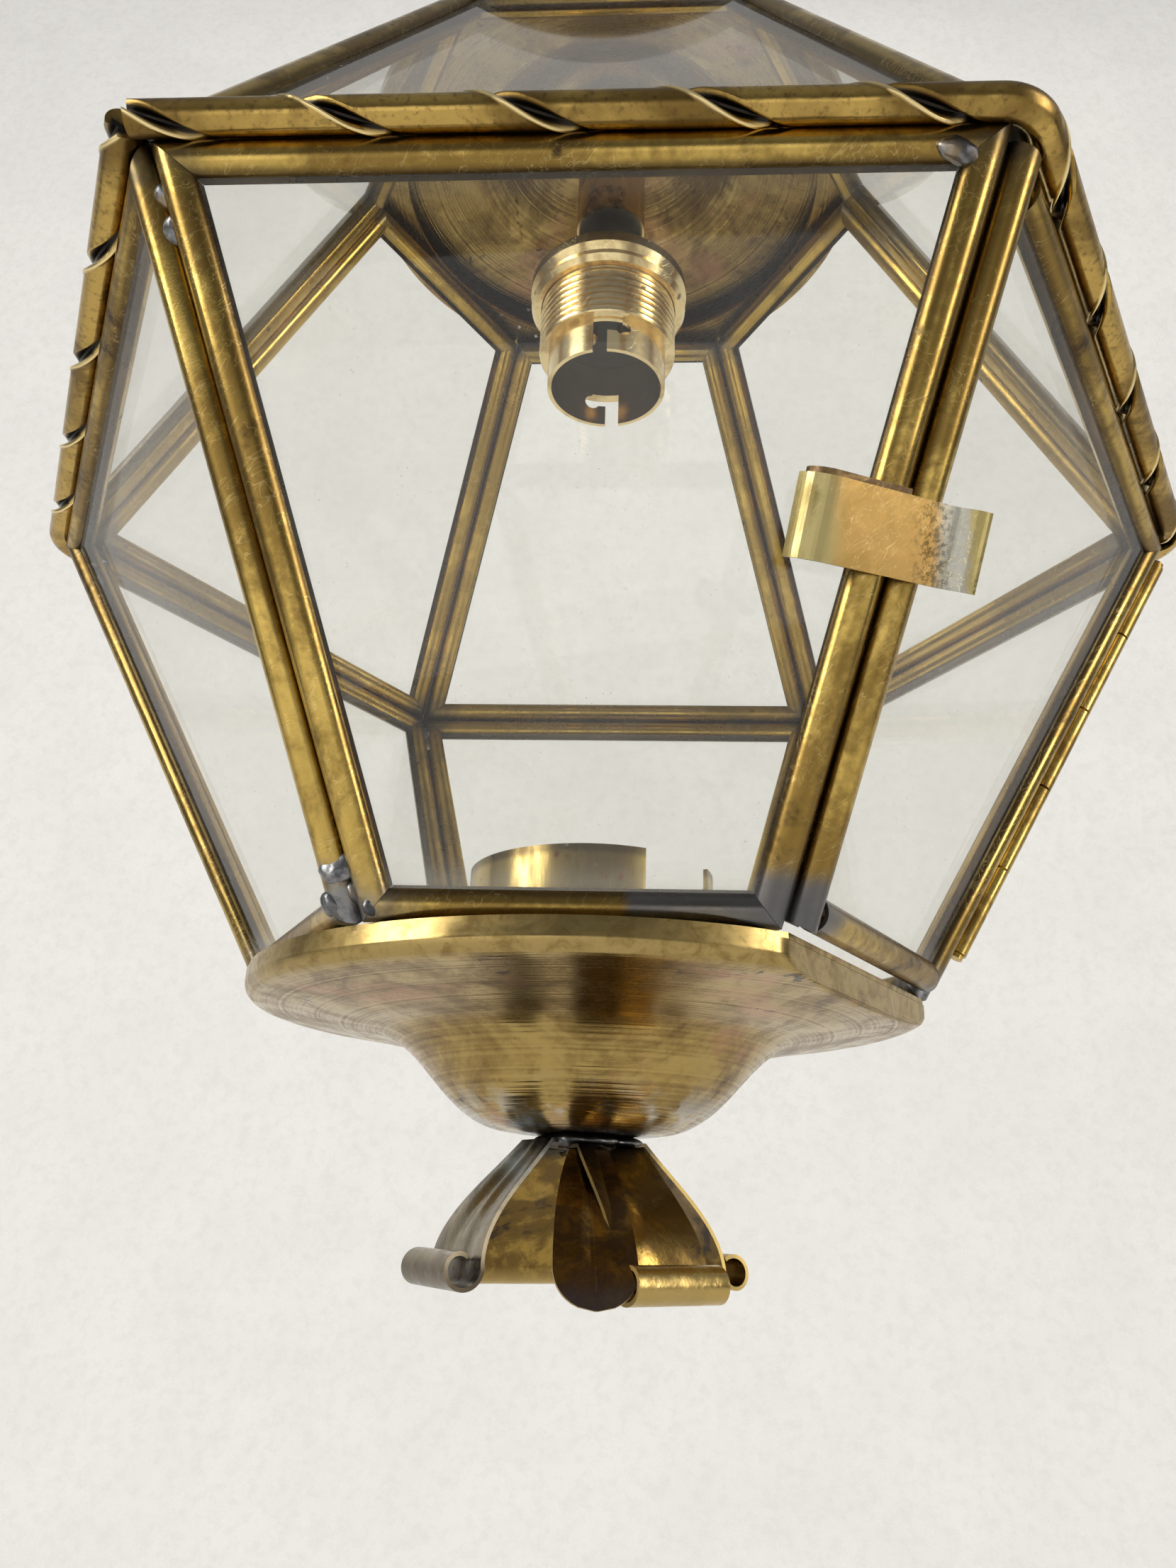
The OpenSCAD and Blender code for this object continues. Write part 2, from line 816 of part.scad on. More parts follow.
module latch_strap() {
    curl_c = [curl_x, curl_z];
    dip_c = [lip_x, strap_z + latch_t / 2 + lip_mid_r];
    rise_c = dip_c + 2 * lip_mid_r * [sin(lip_lift), -cos(lip_lift)];
    far_r = lip_r + latch_t;
    curl_end = 182;
    lip_end = 75;
    curl_steps = 12;
    lip_steps = 6;
    color("darkgoldenrod")
        hang()
            on_latch()
                linear_extrude(height = latch_h, center = true)
                    polygon(concat(
                        arc_points(curl_c, curl_r + latch_t, curl_end, 90, curl_steps),
                        arc_points(dip_c, lip_r, -90, lip_lift - 90, lip_steps),
                        arc_points(rise_c, far_r, 90 + lip_lift, lip_end, lip_steps),
                        arc_points(rise_c, lip_r, lip_end, 90 + lip_lift, lip_steps),
                        arc_points(dip_c, far_r, lip_lift - 90, -90, lip_steps),
                        arc_points(curl_c, curl_r, 90, curl_end, curl_steps)
                    ));
}

module latch_catch() {
    hook_start = 88;
    hook_end = 400;
    drop_z = 0.6;
    came_clear = 0.6;
    color("saddlebrown")
        hang()
            on_latch()
                translate([0, 0, -drop_z])
                    linear_extrude(height = catch_h, center = true)
                        union() {
                            translate([catch_x, catch_z + latch_t - catch_r])
                                ring_sector(catch_r - latch_t, catch_r, hook_start, hook_end);
                            translate([catch_x, catch_z])
                                square([-twin_x + came_r - catch_x - came_clear, latch_t]);
                        }
}

module knuckle(i) {
    on_edge(DOOR, 1)
        translate([0, hinge_low + i * knuckle_pitch, hinge_z])
            rotate([-90, 0, 0])
                difference() {
                    cylinder(r = knuckle_r, h = knuckle_len, $fn = fine_fn);
                    translate([0, 0, -1])
                        cylinder(r = hinge_pin_r + hinge_clear, h = knuckle_len + 2, $fn = fine_fn);
                }
}

module hinge_knuckles_body() {
    color("goldenrod")
        hang()
            for (i = [0:2:knuckles - 1])
                knuckle(i);
}

module hinge_knuckles_door() {
    color("goldenrod")
        hang()
            for (i = [1:2:knuckles - 1])
                knuckle(i);
}

module hinge_pin() {
    head_h = 0.8;
    head_r = hinge_pin_r + 0.4;
    reach = hinge_high - hinge_low;
    color("gold")
        hang()
            on_edge(DOOR, 1)
                translate([0, hinge_low, hinge_z])
                    rotate([-90, 0, 0]) {
                        translate([0, 0, -head_h - 0.1])
                            cylinder(r = head_r, h = head_h, $fn = fine_fn);
                        translate([0, 0, -0.2])
                            cylinder(r = hinge_pin_r, h = reach + 0.4, $fn = fine_fn);
                        translate([0, 0, reach + 0.1])
                            cylinder(r = head_r, h = head_h, $fn = fine_fn);
                    }
}

module top_dish() {
    color("sienna")
        hang()
            translate([0, 0, seat_z])
                dish_shell(top_rim_r, top_depth, top_lip, stem_r + 0.6, tube_r + thread_clear);
}

module seat_ring() {
    outer_r = top_rim_r - dish_wall - 0.1;
    color("peru")
        hang()
            translate([0, 0, seat_z])
                difference() {
                    cylinder(r = outer_r, h = plate_t, $fn = 96);
                    translate([0, 0, -1])
                        cylinder(r = outer_r - seat_w, h = plate_t + 2, $fn = 96);
                }
}

module bored_disc(r, h, bore) {
    difference() {
        cylinder(r = r, h = h, $fn = round_fn);
        translate([0, 0, -1])
            cylinder(r = bore, h = h + 2, $fn = fine_fn);
    }
}

module dish_washer() {
    color("goldenrod")
        hang()
            translate([0, 0, washer_z])
                bored_disc(washer_r, washer_t, tube_r + thread_clear);
}

module lock_nut() {
    color("gold")
        hang()
            translate([0, 0, nut_z])
                difference() {
                    cylinder(r = nut_af / 2 / cos(30), h = nut_h, $fn = 6);
                    translate([0, 0, -1])
                        cylinder(r = tube_r + thread_clear, h = nut_h + 2, $fn = fine_fn);
                }
}

// A ring of round wire standing upright
module wire_ring(r, wire_r) {
    rotate([90, 0, 0])
        rotate_extrude($fn = round_fn)
            translate([r, 0])
                circle(r = wire_r, $fn = 24);
}

module hanging_loop() {
    color("goldenrod")
        hang()
            difference() {
                union() {
                    translate([0, 0, boss_z])
                        cylinder(r = boss_r, h = boss_h - 2, $fn = round_fn);
                    translate([0, 0, boss_z + boss_h - 2])
                        cylinder(r1 = boss_r, r2 = boss_r - 3, h = 2, $fn = round_fn);
                    translate([0, 0, loop_z])
                        wire_ring(loop_r, loop_wire_r);
                }
                translate([0, 0, boss_z - 1])
                    cylinder(r = tube_r + thread_clear, h = tube_top - boss_z + 1.2, $fn = fine_fn);
                translate([0, 0, boss_z])
                    cylinder(r = tube_bore_r, h = cable_z - boss_z + cable_hole_r + 0.7, $fn = fine_fn);
                translate([0, 0, cable_z])
                    rotate([-90, 0, 0])
                        cylinder(r = cable_hole_r, h = boss_r + 2, $fn = fine_fn);
            }
}

module hanging_ring() {
    color("goldenrod")
        hang()
            translate([0, 0, ring_z])
                rotate([0, 0, 90])
                    wire_ring(ring_r, ring_wire_r);
}

module threaded_tube() {
    low = cap_z + cap_h - 5;
    color("gold")
        hang()
            translate([0, 0, low])
                bored_disc(tube_r, tube_top - low, tube_bore_r);
}

module stem_tube() {
    top = top_crown - dish_wall - 0.05;
    color("darkgoldenrod")
        hang()
            translate([0, 0, stem_z])
                bored_disc(stem_r, top - stem_z, tube_r + thread_clear);
}

module holder_collar() {
    color("black")
        hang()
            translate([0, 0, collar_z])
                bored_disc(collar_r, collar_h, tube_r + thread_clear);
}

module holder_cap() {
    w = 1;
    shoulder = 3;
    color("darkgoldenrod")
        hang()
            translate([0, 0, cap_z])
                rotate_extrude($fn = round_fn)
                    polygon([
                        [cap_r, 0],
                        [cap_r, cap_h - 5.4],
                        [cap_r - 0.9, cap_h - 3.6],
                        [cap_r - 3.4, cap_h - 1.6],
                        [collar_r + 0.2, cap_h],
                        [tube_r + thread_clear, cap_h],
                        [tube_r + thread_clear, cap_h - shoulder],
                        [collar_r + 0.8, cap_h - shoulder],
                        [cap_r - 3.6 - w, cap_h - shoulder + 1.2],
                        [cap_r - w - 0.6, cap_h - 4.8],
                        [cap_r - w, cap_h - 6],
                        [cap_r - w, 0]
                    ]);
}

// Bayonet slot: up from the mouth, then sideways to a round seat
module bayonet_slot() {
    turn = slot_hook / barrel_r * 180 / PI;
    reach = thread_r + 1;
    seat_r = slot_w / 2 + 0.15;
    seat_dip = 0.6;
    union() {
        translate([2, -slot_w / 2, holder_z - 1])
            cube([reach, slot_w, slot_depth + 1]);
        rotate_extrude(angle = turn)
            translate([2, holder_z + slot_depth - slot_w])
                square([reach, slot_w]);
        rotate([0, 0, turn])
            translate([2, 0, holder_z + slot_depth - slot_w / 2 - seat_dip])
                rotate([0, 90, 0])
                    cylinder(r = seat_r, h = reach, $fn = fine_fn);
    }
}

module holder_barrel() {
    ribs = floor((shade_ring_z - thread_z) / thread_pitch);
    valley = thread_r - 0.5;
    rib_line = [
        for (i = [0:ribs - 1])
            for (p = [[thread_r - 0.12, 0.2], [thread_r, 0.45], [thread_r, 0.75], [valley, 1.1]])
                [p[0], thread_z + (i + p[1]) * thread_pitch]
    ];
    color("goldenrod")
        hang()
            difference() {
                rotate_extrude($fn = round_fn)
                    polygon(concat(
                        [
                            [lamp_bore_r, holder_z],
                            [barrel_r, holder_z],
                            [barrel_r, thread_z],
                            [thread_r - 0.3, thread_z]
                        ],
                        rib_line,
                        [
                            [valley, holder_top],
                            [undercut_r, holder_top],
                            [undercut_r, bore_top],
                            [lamp_bore_r, bore_top]
                        ]
                    ));
                rotate([0, 0, -94])
                    bayonet_slot();
                rotate([0, 0, 86])
                    bayonet_slot();
            }
}

module shade_ring() {
    r0 = thread_r + 0.1;
    color("gold")
        hang()
            translate([0, 0, shade_ring_z - 0.2])
                rotate_extrude($fn = 64)
                    polygon([
                        [r0, -1.6],
                        [shade_ring_r - 1, -1.6],
                        [shade_ring_r - 0.2, -0.4],
                        [shade_ring_r - 0.9, 1.2],
                        [shade_ring_r, 2.6],
                        [shade_ring_r, shade_ring_h - 0.8],
                        [shade_ring_r - 0.6, shade_ring_h],
                        [cap_r + 0.3, shade_ring_h],
                        [cap_r + 0.3, cap_z - shade_ring_z + 0.1],
                        [r0, cap_z - shade_ring_z + 0.1]
                    ]);
}

module contact_block() {
    well_r = contact_r + 0.06;
    color("black")
        hang()
            difference() {
                translate([0, 0, insulator_z])
                    cylinder(r = undercut_r - 0.1, h = insulator_h, $fn = round_fn);
                for (x = [-contact_x, contact_x])
                    translate([x, 0, insulator_z - 1])
                        cylinder(r = well_r, h = well_top - insulator_z + 1, $fn = fine_fn);
            }
}

module contact(x) {
    color("gold")
        hang()
            translate([x, 0, contact_low])
                union() {
                    cylinder(r1 = contact_r - 0.4, r2 = contact_r, h = 0.5, $fn = fine_fn);
                    translate([0, 0, 0.5])
                        cylinder(r = contact_r, h = contact_top - contact_low - 0.5, $fn = fine_fn);
                }
}

// A coil of round wire standing on z = 0
module coil_spring(r, wire_r, h, turns) {
    sides = 6;
    per_turn = 12;
    rings = turns * per_turn;
    lift = (h - 2 * wire_r) / rings;
    points = [
        for (i = [0:rings])
            for (j = [0:sides - 1])
                let (
                    a = i * 360 / per_turn,
                    b = j * 360 / sides,
                    q = r + wire_r * cos(b)
                )
                [q * cos(a), q * sin(a), wire_r + i * lift + wire_r * sin(b)]
    ];
    faces = concat(
        [[for (j = [sides - 1:-1:0]) j]],
        [
            for (i = [0:rings - 1])
                for (j = [0:sides - 1])
                    let (k = (j + 1) % sides)
                    [i * sides + j, i * sides + k, (i + 1) * sides + k, (i + 1) * sides + j]
        ],
        [[for (j = [0:sides - 1]) rings * sides + j]]
    );
    polyhedron(points = points, faces = faces, convexity = 6);
}

module contact_spring(x) {
    low = contact_top + 0.05;
    color("silver")
        hang()
            translate([x, 0, low])
                coil_spring(contact_r - 0.6, 0.25, well_top - 0.05 - low, 4);
}

lower_frame(0);  // front_frame
lower_frame(2);  // right_frame
lower_frame(3);  // back_right_frame
lower_frame(4);  // back_left_frame
lower_frame(5);  // left_frame
door_frame();
lower_pane(0);  // front_pane
lower_pane(2);  // right_pane
lower_pane(3);  // back_right_pane
lower_pane(4);  // back_left_pane
lower_pane(5);  // left_pane
door_pane();
roof_frame(0);  // roof_frame_front
roof_frame(1);  // roof_frame_front_right
roof_frame(2);  // roof_frame_back_right
roof_frame(3);  // roof_frame_back
roof_frame(4);  // roof_frame_back_left
roof_frame(5);  // roof_frame_front_left
roof_pane(0);  // roof_pane_front
roof_pane(1);  // roof_pane_front_right
roof_pane(2);  // roof_pane_back_right
roof_pane(3);  // roof_pane_back
roof_pane(4);  // roof_pane_back_left
roof_pane(5);  // roof_pane_front_left
rope_front();
rope_front_right();
rope_back_right();
rope_back();
rope_back_left();
rope_front_left();
foot_dish();
floor_plate();
candle_ring();
finial_scroll_upper();
finial_scroll_lower();
finial_petals();
latch_strap();
latch_catch();
hinge_knuckles_body();
hinge_knuckles_door();
hinge_pin();
top_dish();
seat_ring();
dish_washer();
lock_nut();
hanging_loop();
hanging_ring();
threaded_tube();
stem_tube();
holder_collar();
holder_cap();
holder_barrel();
shade_ring();
contact_block();
contact(-contact_x);  // contact_left
contact(contact_x);  // contact_right
contact_spring(-contact_x);  // contact_spring_left
contact_spring(contact_x);  // contact_spring_right
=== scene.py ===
import json
import math

import bpy
from mathutils import Matrix, Vector


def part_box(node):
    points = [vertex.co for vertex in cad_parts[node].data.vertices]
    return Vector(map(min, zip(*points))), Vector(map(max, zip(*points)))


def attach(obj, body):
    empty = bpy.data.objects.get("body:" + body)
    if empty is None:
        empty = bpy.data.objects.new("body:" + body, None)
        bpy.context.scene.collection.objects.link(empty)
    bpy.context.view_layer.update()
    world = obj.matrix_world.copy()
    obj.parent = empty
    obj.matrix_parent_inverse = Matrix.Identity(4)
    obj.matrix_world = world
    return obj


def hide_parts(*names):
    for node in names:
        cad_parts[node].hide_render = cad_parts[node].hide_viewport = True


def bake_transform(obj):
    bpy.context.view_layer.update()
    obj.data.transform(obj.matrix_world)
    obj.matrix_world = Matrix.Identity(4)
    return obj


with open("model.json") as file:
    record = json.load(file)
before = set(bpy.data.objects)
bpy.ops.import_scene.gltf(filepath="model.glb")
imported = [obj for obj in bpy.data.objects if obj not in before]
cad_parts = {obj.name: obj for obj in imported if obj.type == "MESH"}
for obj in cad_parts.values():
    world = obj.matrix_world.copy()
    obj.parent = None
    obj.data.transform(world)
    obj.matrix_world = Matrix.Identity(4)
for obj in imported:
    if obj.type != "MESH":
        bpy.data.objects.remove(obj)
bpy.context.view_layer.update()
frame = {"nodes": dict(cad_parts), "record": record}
NODES = frame["nodes"]

# Sizes in millimetres, angles in degrees, and heights measured from the girdle
DROP = 178.109                          # the girdle hangs this far below the row's origin
TIER = 87.3                             # height of each glazed tier
TRIM_APOTHEM, TRIM_R, TRIM_PITCH = 93.77, 2.3, 22.8
TRIM_INSET, TRIM_FULLNESS = 0.4, 0.94   # its path lies this far in, and it is drawn this full
TRIM_START, TRIM_END = -119.7, -120.3   # its open ends, by the front left corner
DOOR_AZIMUTH, DOOR_FLAT = -30, 47.96    # the foot dish is pressed flat here, beside the door
FOOT_RIM_R, FOOT_RIM_Z, FOOT_LIP, FOOT_DEPTH, FOOT_MIDDLE = 55.4, -88.671, 3.6, 22.2, 6.648
TOP_RIM_R, TOP_RIM_Z, TOP_LIP, TOP_DEPTH, TOP_MIDDLE, TOP_HOLE = 52.4, 86.759, 5.0, 24.0, 7.9, 5.05
DISH_WALL, DISH_STEPS = 0.8, 240
DISH_FOOT = -110.87                     # underside of the foot dish, where the finial hangs
LEAF_T, LEAF_LEVEL, FINIAL_H, SCROLL_R = 0.6, 0.8, 24.6, 2.5
LEAF_ROWS = 17                          # points across a leaf
SCROLL_TURN, SCROLL_CLOSING = 308, 0.75  # how far a scroll rolls, and how much its radius shrinks by then
SCROLL_FOLD, PETAL_FOLD = 0.8, 0.55     # height of the creases
PETAL_TIP = 0.225                       # share of a petal that its round tip takes
CREASE_HALF = 0.34                      # half width of a crease, as a share of the leaf's half width
SPRING_WIRE_R, SPRING_TURNS = 0.2, 4.0
ROOT_R, ROOT_H, ROOT_DROP = 8.3, 1.35, 0.9
POLE_R = 0.001                          # a closed pole is drawn as a ring this small

# Solder lumps as (radius, turn from the corner, height), for each of these corners;
# the two beside the door are given by their own azimuths
SOLDERED_CORNERS = (60, 120, 180, 240)
GIRDLE_LUMPS = ((100.2, 0, -5.6), (98.0, 0, -9.0))
FOOT_LUMPS = ((54.9, 0, -83.2), (58.4, -1.5, -80.6), (55.8, -3.5, -85.0), (55.4, 3.2, -85.2))
BESIDE_DOOR = ((101.5, -63.4, -4.4), (101.5, 3.4, -4.4))
GIRDLE_LUMP, FOOT_LUMP, LUMP_RELIEF = 2.6, 2.5, 1.1


def place(x, y, z):
    """A point given in millimetres about the girdle, in the row's metres."""
    return Vector((x, y, z - DROP)) / 1000


def around(radius, azimuth, z):
    a = math.radians(azimuth)
    return place(radius * math.cos(a), radius * math.sin(a), z)


def stand(name, data):
    """Puts a mesh, lamp or camera into the scene, at the origin."""
    obj = bpy.data.objects.new(name, data)
    bpy.context.scene.collection.objects.link(obj)
    return obj


def sheet_mesh(name, verts, faces, material):
    """A smooth mesh with one finish."""
    mesh = bpy.data.meshes.new(name)
    mesh.from_pydata(verts, [], faces)
    mesh.materials.append(material)
    mesh.polygons.foreach_set("use_smooth", [True] * len(mesh.polygons))
    return mesh


def mark(mesh, label, domain, values):
    mesh.attributes.new(label, "FLOAT", domain).data.foreach_set("value", values)


# ---------------------------------------------------------------- finishes

GOLD = (0.56, 0.39, 0.105)
PALE_GOLD = (0.90, 0.72, 0.36)
# amber for the painted warm light on a came's inward face
INWARD_LIGHT_AMBER = (0.62, 0.42, 0.09)
OLIVE = (0.44, 0.36, 0.15)
BROWN = (0.25, 0.16, 0.042)
UMBER = (0.07, 0.045, 0.02)
# near black, for soot and spots, and for the painted shade in the twisted trim's seam
SOOT_AND_SHADE = (0.028, 0.024, 0.02)
# silvery grey for the painted highlight on the latch
SILVERY_HIGHLIGHT = (0.45, 0.44, 0.38)
SOLDER = (0.24, 0.245, 0.25)
DARK_SOLDER = (0.11, 0.11, 0.115)


def wire(tree, kind, inputs=(), **settings):
    """Adds a node, sets it, and feeds its inputs: (name or index, other node's socket or plain value)."""
    node = tree.nodes.new(kind)
    for key, value in settings.items():
        setattr(node, key, value)
    for socket, source in inputs:
        if isinstance(source, bpy.types.NodeSocket):
            tree.links.new(source, node.inputs[socket])
        else:
            node.inputs[socket].default_value = source
    return node


class Finish:
    """One material, and short names for the nodes its recipe uses."""

    def __init__(self, name):
        self.material = bpy.data.materials.new(name)
        self.material.use_nodes = True
        self.tree = self.material.node_tree
        self.tree.nodes.clear()
        # Object coordinates in millimetres, with the girdle at height 0
        spot = self.add("ShaderNodeTexCoord").outputs["Object"]
        self.mm = self.add("ShaderNodeMapping", [
            ("Vector", spot), ("Location", (0, 0, DROP)), ("Scale", (1000, 1000, 1000))]).outputs[0]

    def add(self, kind, inputs=(), **settings):
        return wire(self.tree, kind, inputs, **settings)

    def calc(self, kind, a, b=0.0, c=0.0, clamp=False):
        return self.add("ShaderNodeMath", enumerate((a, b, c)), operation=kind, use_clamp=clamp).outputs[0]

    def axes(self):
        return self.add("ShaderNodeSeparateXYZ", [(0, self.mm)]).outputs

    def from_axis(self):
        """Distance from the lantern's upright axis."""
        x, y, z = self.axes()
        return self.calc("SQRT", self.calc("ADD", self.calc("MULTIPLY", x, x), self.calc("MULTIPLY", y, y)))

    def turned(self, rotation=(0, 0, 0), scale=(1, 1, 1), source=None):
        return self.add("ShaderNodeMapping", [
            ("Vector", source or self.mm), ("Rotation", [math.radians(a) for a in rotation]),
            ("Scale", scale)], vector_type="POINT").outputs[0]

    def noise(self, size, detail=3.0, rough=0.55, stretch=(1, 1, 1), warp=0.0, source=None):
        """Cloudy pattern of the given size in millimetres."""
        return self.add("ShaderNodeTexNoise", [
            ("Vector", self.turned(scale=[s / size for s in stretch], source=source)), ("Scale", 1.0),
            ("Detail", detail), ("Roughness", rough), ("Distortion", warp)]).outputs["Fac"]

    def line_noise(self, value, size, detail=2.0):
        """Noise along one number, for rings."""
        return self.add("ShaderNodeTexNoise", [
            ("W", self.calc("DIVIDE", value, size)), ("Scale", 1.0), ("Detail", detail)],
            noise_dimensions="1D").outputs["Fac"]

    def cells(self, size):
        """Distance to the nearest of scattered points, for spots."""
        return self.add("ShaderNodeTexVoronoi", [
            ("Vector", self.turned(scale=[1 / size] * 3)), ("Scale", 1.0)], feature="F1").outputs["Distance"]

    def window(self, value, low, high, out_low=0.0, out_high=1.0):
        """Soft step from out_low to out_high as value goes from low to high."""
        return self.add("ShaderNodeMapRange", [
            ("Value", value), ("From Min", low), ("From Max", high),
            ("To Min", out_low), ("To Max", out_high)], interpolation_type="SMOOTHSTEP").outputs[0]

    def weigh(self, a, b, share):
        """a and b added together, with b's share given and a's the rest."""
        return self.calc("ADD", self.calc("MULTIPLY", a, 1 - share), self.calc("MULTIPLY", b, share))

    def jog(self, value, pattern, reach):
        """A value moved about by a pattern, so that the edge drawn at it is uneven."""
        return self.calc("ADD", value, self.calc("MULTIPLY", pattern, reach))

    def blend(self, share, a, b):
        """Colour a, turning to colour b where share is 1."""
        a, b = ((*colour, 1.0) if isinstance(colour, tuple) else colour for colour in (a, b))
        return self.add("ShaderNodeMix", [("Factor", share), (6, a), (7, b)],
                        data_type="RGBA", blend_type="MIX").outputs[2]

    def stain(self, where, strength, colour, tint):
        """Lays a tint over a colour at less than full strength."""
        return self.blend(self.calc("MULTIPLY", where, strength), colour, tint)

    def outwardness(self):
        """1 where the surface faces away from the lantern's middle, 0 edge on, -1 inward."""
        unit = self.add("ShaderNodeVectorMath", [(0, self.mm)], operation="NORMALIZE").outputs[0]
        normal = self.add("ShaderNodeNewGeometry").outputs["Normal"]
        return self.add("ShaderNodeVectorMath", [(0, unit), (1, normal)],
                        operation="DOT_PRODUCT").outputs["Value"]

    def attribute(self, name):
        return self.add("ShaderNodeAttribute", attribute_name=name).outputs["Fac"]

    def bump(self, height, depth, strength, over=None):
        """Relief, depth in millimetres, on top of another relief where one is given."""
        under = [("Normal", over)] if over else []
        return self.add("ShaderNodeBump", [
            ("Strength", strength), ("Distance", depth / 1000), ("Height", height)] + under).outputs[0]

    def surface(self, colour, rough, relief, metallic=0.0):
        return self.add("ShaderNodeBsdfPrincipled", [
            ("Base Color", colour), ("Metallic", metallic), ("Roughness", rough),
            ("Normal", relief)]).outputs[0]

    def layer(self, share, below, above):
        """Two shaders, with the one above showing where share is 1."""
        return self.add("ShaderNodeMixShader", [(0, share), (1, below), (2, above)]).outputs[0]

    def done(self, shader):
        self.add("ShaderNodeOutputMaterial", [("Surface", shader)])
        return self.material

    def metal(self, colour, rough, relief):
        return self.done(self.surface(colour, rough, relief, 1.0))


def scratches(f, size=2.2, along=14.0):
    """Three crossed sets of fine hairlines, 1 where there is a line."""
    total = None
    for turn in ((17, 31, 8), (64, -22, 47), (-38, 70, 112)):
        turned = f.turned(turn)
        hair = f.noise(size, 2.0, 0.6, (1 / along, 1, 1), 0.3, turned)
        line = f.calc("COMPARE", hair, 0.5, 0.006)
        soft = f.calc("MULTIPLY", line, f.window(f.noise(11, 1, 0.5, source=turned), 0.45, 0.6))
        total = soft if total is None else f.calc("MAXIMUM", total, soft)
    return total


def corner_nearness(f, reach, rise):
    """1 at the soldered corners of the glazed frames, 0 away from them."""
    x, y, z = f.axes()
    swing = f.calc("ABSOLUTE", f.calc("SINE", f.calc("MULTIPLY", f.calc("ARCTAN2", y, x), 3.0)))
    aside = f.calc("MULTIPLY", f.calc("DIVIDE", f.from_axis(), 3.0), swing)
    step = f.calc("PINGPONG", z, TIER)
    level = f.calc("MINIMUM", step, f.calc("SUBTRACT", TIER, step))
    uneven = f.noise(7.0, 3.0, 0.6)
    across = f.window(f.jog(aside, uneven, reach), reach * 1.5, reach * 0.6)
    upward = f.window(f.jog(level, uneven, rise), rise * 1.5, rise * 0.6)
    return f.calc("MULTIPLY", across, upward)


def paint_flank_shade_and_inward_light(f, colour, clouds, dark):
    """Painted shade darkens the sides of a came by which way they face, and painted warm light turns its
    inward face amber.
    """
    face = f.jog(f.outwardness(), f.calc("SUBTRACT", clouds, 0.5), 0.9)
    flank_shade = f.window(f.calc("ABSOLUTE", face), 0.62, 0.22)
    # painted shade: the came's flanks, edge on to the outward direction, go dark
    colour = f.stain(flank_shade, 0.8, colour, dark)
    # painted warm light: the inward face is turned amber
    return f.blend(f.window(face, -0.1, -0.5, 0.0, 0.4), colour, INWARD_LIGHT_AMBER)


def leaded_corners(f, colour, clouds, polish):
    """Lead grey at the soldered corners, darker by the girdle, and a smear on the front foot rail."""
    near = corner_nearness(f, 9.0, 8.0)
    lead = f.blend(f.window(f.noise(2.6, 3, 0.6), 0.4, 0.62), SOLDER, DARK_SOLDER)
    x, y, z = f.axes()
    by_girdle = f.window(f.calc("ABSOLUTE", z), 30.0, 18.0, 0.0, 0.85)
    lead = f.blend(by_girdle, lead, (0.045, 0.036, 0.022))
    colour = f.blend(near, colour, lead)
    right_end = f.calc("MULTIPLY", f.window(f.jog(x, clouds, 6.0), 10.0, 12.0), f.window(z, -80.0, -83.0))
    smear = f.calc("MULTIPLY", right_end, f.window(y, -38.0, -43.0))
    colour = f.stain(smear, 0.9, colour, (0.13, 0.13, 0.135))
    return colour, f.calc("ADD", polish, f.calc("MULTIPLY", near, 0.14), clamp=True)


def aged_brass(name, gold=GOLD, brown=BROWN, dark=UMBER, patch=26.0, brown_from=0.42,
               dark_from=0.60, rough=(0.24, 0.46), came=False):
    """Brass that is rubbed bright in places and tarnished in others; a came also gets painted shade on its
    flanks, painted warm light on its inward face, and solder.
    """
    f = Finish(name)
    clouds = f.noise(patch, 5.0, 0.62, warp=0.7)
    tone = f.weigh(clouds, f.noise(1.7, 3.0, 0.6), 0.18)
    colour = f.blend(f.window(tone, brown_from, brown_from + 0.14), gold, brown)
    colour = f.blend(f.window(tone, dark_from, dark_from + 0.1), colour, dark)
    if came:
        colour = paint_flank_shade_and_inward_light(f, colour, clouds, dark)
    spots = f.window(f.cells(5.5), 0.16, 0.05)
    spots = f.calc("MULTIPLY", spots, f.window(f.noise(9, 2, 0.5), 0.5, 0.62))
    colour = f.stain(spots, 0.75, colour, SOOT_AND_SHADE)
    hair = scratches(f)
    colour = f.stain(hair, 0.18, colour, PALE_GOLD)
    polish = f.window(tone, brown_from - 0.08, dark_from + 0.1, *rough)
    polish = f.calc("ADD", polish, f.calc("MULTIPLY", spots, 0.2), clamp=True)
    if came:
        colour, polish = leaded_corners(f, colour, clouds, polish)
    relief = f.bump(f.noise(0.25, 2.0, 0.6), 0.02, 0.35)
    relief = f.bump(hair, 0.02, 0.3, relief)
    relief = f.bump(f.noise(9.0, 2.0, 0.45), 0.22, 0.22, relief)
    return f.metal(colour, polish, relief)


def came_finish():
    return aged_brass("aged_came_brass", brown_from=0.40, dark_from=0.56, rough=(0.16, 0.34), came=True)


def rope_finish():
    """Twisted trim: painted shade down in the seam, and a bright rubbed lip beside it."""
    f = Finish("twisted_trim_brass")
    clouds = f.noise(16.0, 4.0, 0.6, warp=0.5)
    fine = f.noise(0.8, 3.0, 0.6)
    colour = f.blend(f.window(clouds, 0.40, 0.62), (0.52, 0.35, 0.10), (0.20, 0.125, 0.035))
    colour = f.stain(f.window(fine, 0.5, 0.72), 0.5, colour, UMBER)
    colour = f.blend(f.attribute("lip"), colour, PALE_GOLD)
    # painted shade: the seam's groove is coloured near black
    colour = f.blend(f.window(f.attribute("deep"), 0.2, 0.6), colour, SOOT_AND_SHADE)
    polish = f.window(clouds, 0.4, 0.65, 0.18, 0.36)
    relief = f.bump(fine, 0.03, 0.35)
    relief = f.bump(f.noise(5.0, 3.0, 0.55), 0.2, 0.5, relief)
    return f.metal(colour, polish, relief)


